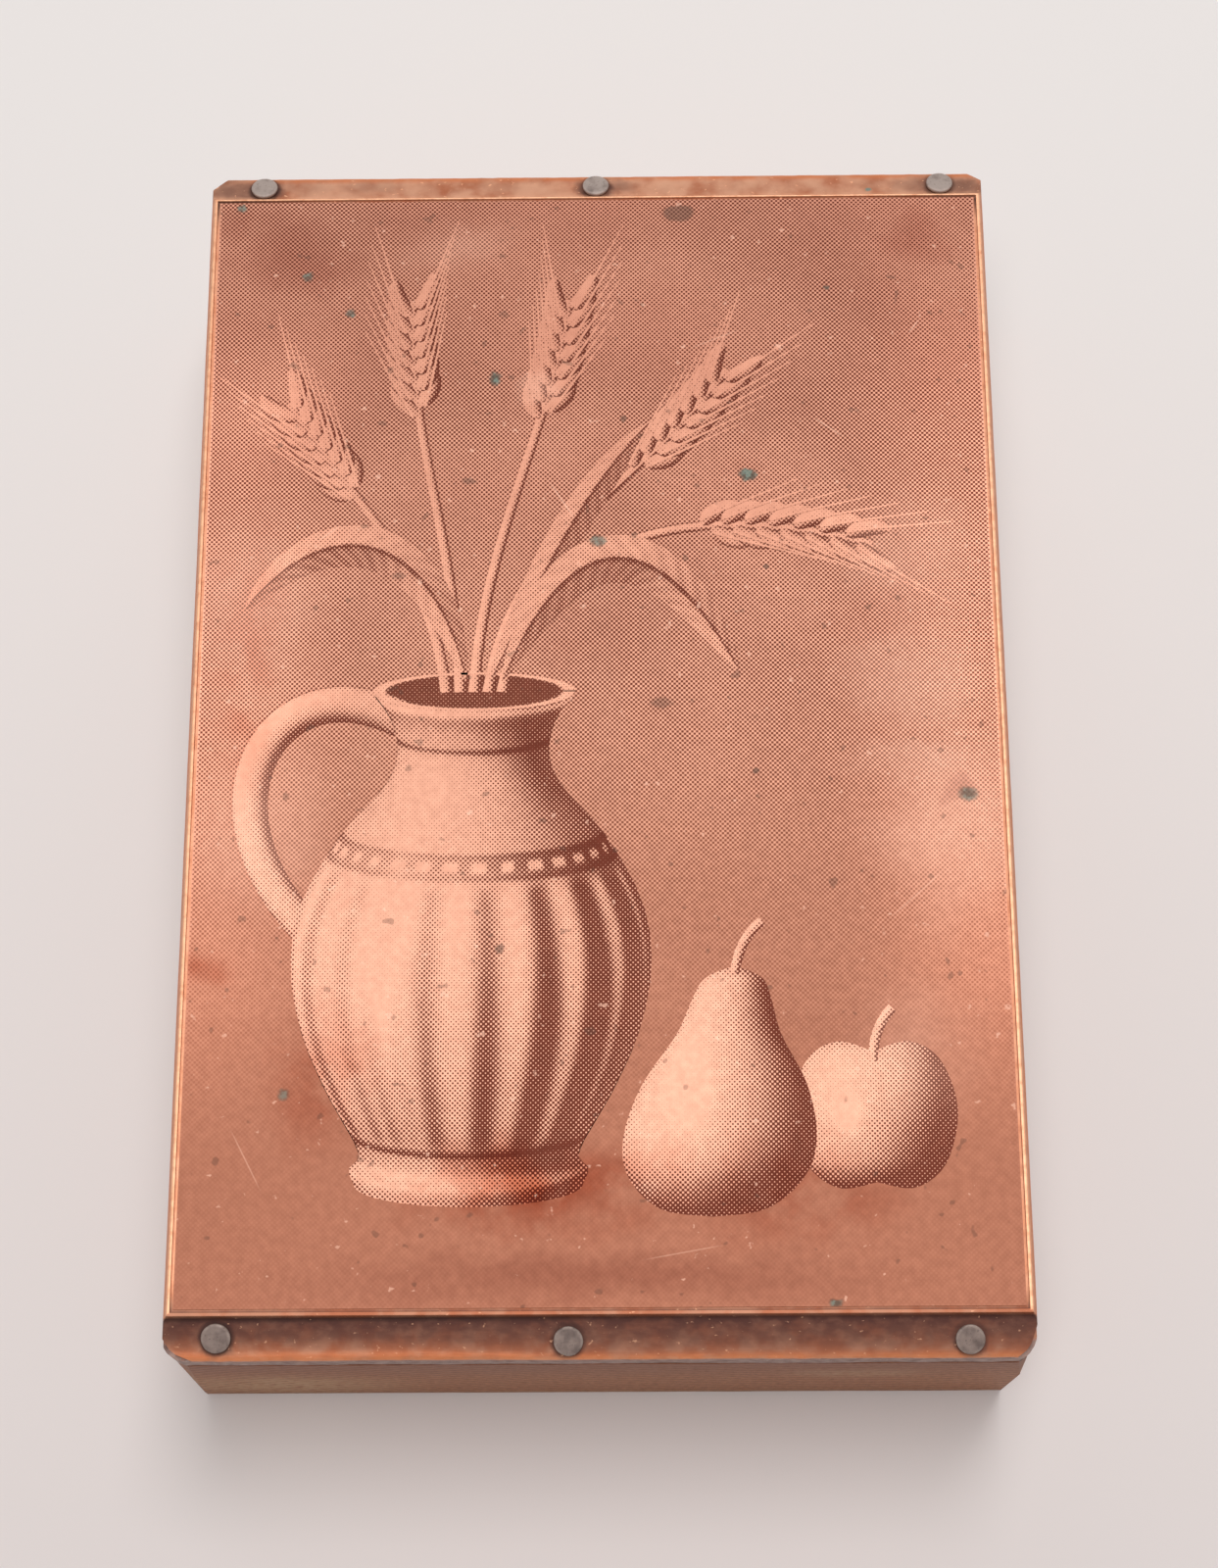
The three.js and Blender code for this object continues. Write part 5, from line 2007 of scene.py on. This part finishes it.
    def jug_body(self) -> Sheet:
        """The jug's body with its flutes, rings, beads and lit rim.

        Returns:
            The body as a sheet.
        """
        foot = self.at(self.jug_foot)
        rows, columns = self.jug_grid
        steps = spline(self.jug_profile, np.linspace(0, 1, rows))
        width, up = steps[:, 0:1] * self.jug_half_width, steps[:, 1:2]
        angle = np.linspace(-math.pi / 2, math.pi / 2, columns)[None, :] + 0 * width
        across = foot[0] + width * np.sin(angle)
        along = foot[1] + up * self.jug_height - self.ring_share * width * np.cos(angle)
        low, high = self.flute_reach
        fluted = np.clip((up - low) / self.flute_blur, 0, 1) * np.clip((high - up) / self.flute_blur, 0, 1)
        turned = angle + self.flute_depth * fluted * np.sin(2 * self.flutes * angle)
        slope = np.gradient(width[:, 0], up[:, 0] * self.jug_height)[:, None] + 0 * angle
        lit = self.light.on(np.sin(turned), -slope, np.maximum(np.cos(turned), 0.02))
        dark, light = self.jug_tones
        tone = dark + light * lit + 0.10 * np.clip((np.sin(angle) - 0.8) / 0.2, 0, 1)
        turn, height, half_turn, half_height, strength = self.gloss
        near = np.exp(-(((angle - turn) / half_turn) ** 2))
        tone += strength * near * np.exp(-(((up - height) / half_height) ** 2))
        half_height, strength = self.ring_line
        for ring in self.rings:
            tone -= strength * np.exp(-(((up - ring) / half_height) ** 2))
        height, half_height, strength = self.rim
        tone += strength * np.exp(-(((up - height) / half_height) ** 2))
        height, half_height, strength = self.beads
        beaded = tone + strength * np.sign(np.sin(angle * self.bead_turns))
        tone = np.where(np.abs(up - height) < half_height, beaded, tone)
        return Sheet(across, along, tone, self.jug_sunk)

    def jug_lip(self) -> Sheet:
        """The bright ring round the jug's mouth.

        Returns:
            The ring as a sheet.
        """
        rows, columns = self.lip_grid
        turn = np.linspace(0, 2 * math.pi, columns)[None, :]
        size = self.mouth_radius * np.linspace(1.0, self.mouth_share, rows)[:, None]
        across = self.mouth[0] + size * np.cos(turn)
        along = self.mouth[1] + size * self.ring_share * np.sin(turn)
        return Sheet(across, along, self.lip_tone + 0 * across, self.lip_sunk)

    # Pieces

    def build(self, copper: HalftoneCopper) -> None:
        """Builds and dresses the ground and each thing in the picture.

        Args:
            copper: The picture's finish.
        """
        ground = self._ground()
        lay_flat(ground)
        finish = copper.material((self.half_width, self.field[0]), self._shadows())
        settle(ground, finish, ["copper_shell"])
        finish = copper.material()
        for name, sheets in self._things().items():
            piece = self._stamp(name, sheets)
            if "wheat" not in name:
                lay_flat(piece)
            settle(piece, finish, ["copper_shell"])

    def _things(self) -> dict[str, list[Sheet]]:
        """Draws each thing in the picture.

        Returns:
            The sheets of each thing, by the name of its piece.
        """
        corner = self.at(self.jug_foot)
        size = np.array([self.jug_half_width, self.jug_height])
        line = Line(np.array([corner + np.array(pair) * size for pair in self.handle]))
        handle = self.rod(line, tapered(self.handle_half_width, 0.85), self.handle_sunk, columns=15)
        made = {"picture_jug": [self.jug_lip(), self.jug_body()], "picture_jug_handle": [handle]}
        for i, shares in enumerate(self.stems):
            stem = self.line(shares)
            rod = self.rod(stem, tapered(self.stem_half_width, 0.7), self.stem_sunk)
            made[f"picture_wheat_{i + 1}"] = [rod, *self.ear(stem)]
        for i, (shares, width) in enumerate(zip(self.leaves, self.leaf_half_widths)):
            sunk = self.leaf_sunk - self.leaf_lift * i
            made[f"picture_leaf_{i + 1}"] = [self.leaf(self.line(shares), width, sunk)]
        fruits = {
            "pear": (self.pear_foot, self.pear_profile, self.pear_size, self.pear_lean, self.pear_sunk),
            "apple": (self.apple_foot, self.apple_profile, self.apple_size, 0.0, self.apple_sunk),
        }
        shape = tapered(self.stalk_half_width, 1.4)
        for (name, (foot, *form)), shares in zip(fruits.items(), self.stalks):
            stalk = self.rod(self.line(shares), shape, self.stalk_sunk, rows=14, columns=5)
            made[f"picture_{name}"] = [self.round_body(self.at(foot), *form), stalk]
        return made

    def _shadows(self) -> list[Dab]:
        """Shades the ground.

        Returns:
            Its dark places: the shade on the table and the jug's mouth.
        """
        top = self.sizes.type_height
        made = [Dab(*self.at(middle), *half, strength, 0.2, top) for middle, half, strength in self.shade]
        radius = self.mouth_radius * self.mouth_share * 1.02
        made.append(Dab(*self.mouth, radius, radius * self.ring_share, self.mouth_shade, 0.9, top))
        return made

    def _ground(self) -> Piece:
        """Lifts the picture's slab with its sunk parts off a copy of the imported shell.

        Returns:
            The slab.
        """
        copy = bpy.data.objects.new("picture_ground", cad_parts["copper_shell"].data.copy())
        bpy.context.scene.collection.objects.link(copy)
        with editing(copy):
            bpy.ops.mesh.customdata_custom_splitnormals_clear()
            bpy.ops.mesh.remove_doubles(threshold=COPY_WELD)
        slice_at(copy, (0, 0, self.sizes.type_height - self.slab), (0, 0, -1))
        with editing(copy):
            bpy.ops.mesh.separate(type="LOOSE")
        ground, *frame_line = sorted(bpy.context.selected_objects, key=lambda part: places(part)[:, 0].max())
        for part in frame_line:
            bpy.data.objects.remove(part)
        ground.name = "picture_ground"
        put(ground, places(ground) - (0, 0, self.ground_sunk))
        return ground

    def _stamp(self, name: str, sheets: Sequence[Sheet]) -> Piece:
        """Makes one piece of the picture from its sheets.

        Args:
            name: The piece's name.
            sheets: The sheets.

        Returns:
            The piece.
        """
        parts = []
        for sheet in sheets:
            height = np.full_like(sheet.across, self.sizes.type_height - sheet.sunk)
            part = grid(name, sheet.across, sheet.along, height)
            carry(part, "tone", np.clip(sheet.tone, 0, 1))
            parts.append(part)
        bpy.ops.object.select_all(action="DESELECT")
        for part in parts:
            part.select_set(True)
        bpy.context.view_layer.objects.active = parts[0]
        if len(parts) > 1:
            bpy.ops.object.join()
        thicken(parts[0], self.sheet_depth)
        return parts[0]


# Studio


@dataclass(frozen=True)
class Softbox:
    """A soft lamp that faces the block: its place and size in millimetres, and its radiance."""

    name: str
    place: Triple
    size: Point
    radiance: float


@dataclass(frozen=True)
class Studio:
    """The camera at the photograph's angle, soft lamps overhead and behind, an even sky and a pale floor."""

    camera_place: Triple = (2.57, -65.75, 213.78)
    camera_right: Triple = (0.99994, -0.00361, -0.01051)
    camera_up: Triple = (0.00665, 0.95214, 0.30559)
    lens: float = 64.58
    sensor: float = 36.0
    floor_size: float = 4000.0
    sky: float = 0.14
    lamps: tuple[Softbox, ...] = (
        Softbox("overhead", (15.0, 45.0, 1000.0), (320.0, 860.0), 9.3),
        Softbox("behind", (0.0, 900.0, 480.0), (900.0, 500.0), 0.9),
    )

    def build(self, floor: MattPaint) -> None:
        """Sets the stage round the block.

        Args:
            floor: The floor's finish.
        """
        self._camera()
        self._lights()
        bpy.ops.object.select_all(action="DESELECT")
        bpy.ops.mesh.primitive_plane_add(size=self.floor_size * MM)
        ground = bpy.context.active_object
        ground.name = "floor"
        ground.data.materials.append(floor.material())

    def _camera(self) -> None:
        """Stands the camera where the photograph was taken from."""
        data = bpy.data.cameras.new("camera")
        data.lens = self.lens
        data.sensor_width = self.sensor
        data.clip_start = 0.01
        camera = bpy.data.objects.new("camera", data)
        bpy.context.scene.collection.objects.link(camera)
        right, up = Vector(self.camera_right), Vector(self.camera_up)
        turned = Matrix((right, up, right.cross(up))).transposed().to_4x4()
        camera.matrix_world = Matrix.Translation(Vector(self.camera_place) * MM) @ turned
        bpy.context.scene.camera = camera

    def _lights(self) -> None:
        """Hangs the soft lamps and lights the sky."""
        for softbox in self.lamps:
            data = bpy.data.lights.new(f"softbox_{softbox.name}", "AREA")
            data.shape = "RECTANGLE"
            data.size, data.size_y = (side * MM for side in softbox.size)
            data.energy = softbox.radiance * math.pi * data.size * data.size_y
            lamp = bpy.data.objects.new(data.name, data)
            lamp.location = Vector(softbox.place) * MM
            lamp.rotation_euler = (-lamp.location).to_track_quat("-Z", "Y").to_euler()
            bpy.context.scene.collection.objects.link(lamp)
        world = bpy.data.worlds.new("sky")
        world.use_nodes = True
        background = world.node_tree.nodes["Background"]
        background.inputs["Strength"].default_value = self.sky
        background.inputs["Color"].default_value = (1, 1, 1, 1)
        bpy.context.scene.world = world


def main() -> None:
    """Dresses the block and sets its stage."""
    logging.basicConfig(level=logging.INFO, format="%(name)s: %(message)s")
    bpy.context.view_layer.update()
    sizes = BlockSizes.from_frame()
    bpy.context.scene.view_settings.view_transform = "Standard"
    WoodBase(sizes).build(AgedHardwood())
    Plate(sizes, PlateForm(sizes)).build(ShellCopper(), LeadAlloy())
    StillLife(sizes).build(HalftoneCopper())
    Nails(sizes).build(DullSteel())
    Studio().build(MattPaint())


if __name__ == "__main__":
    main()
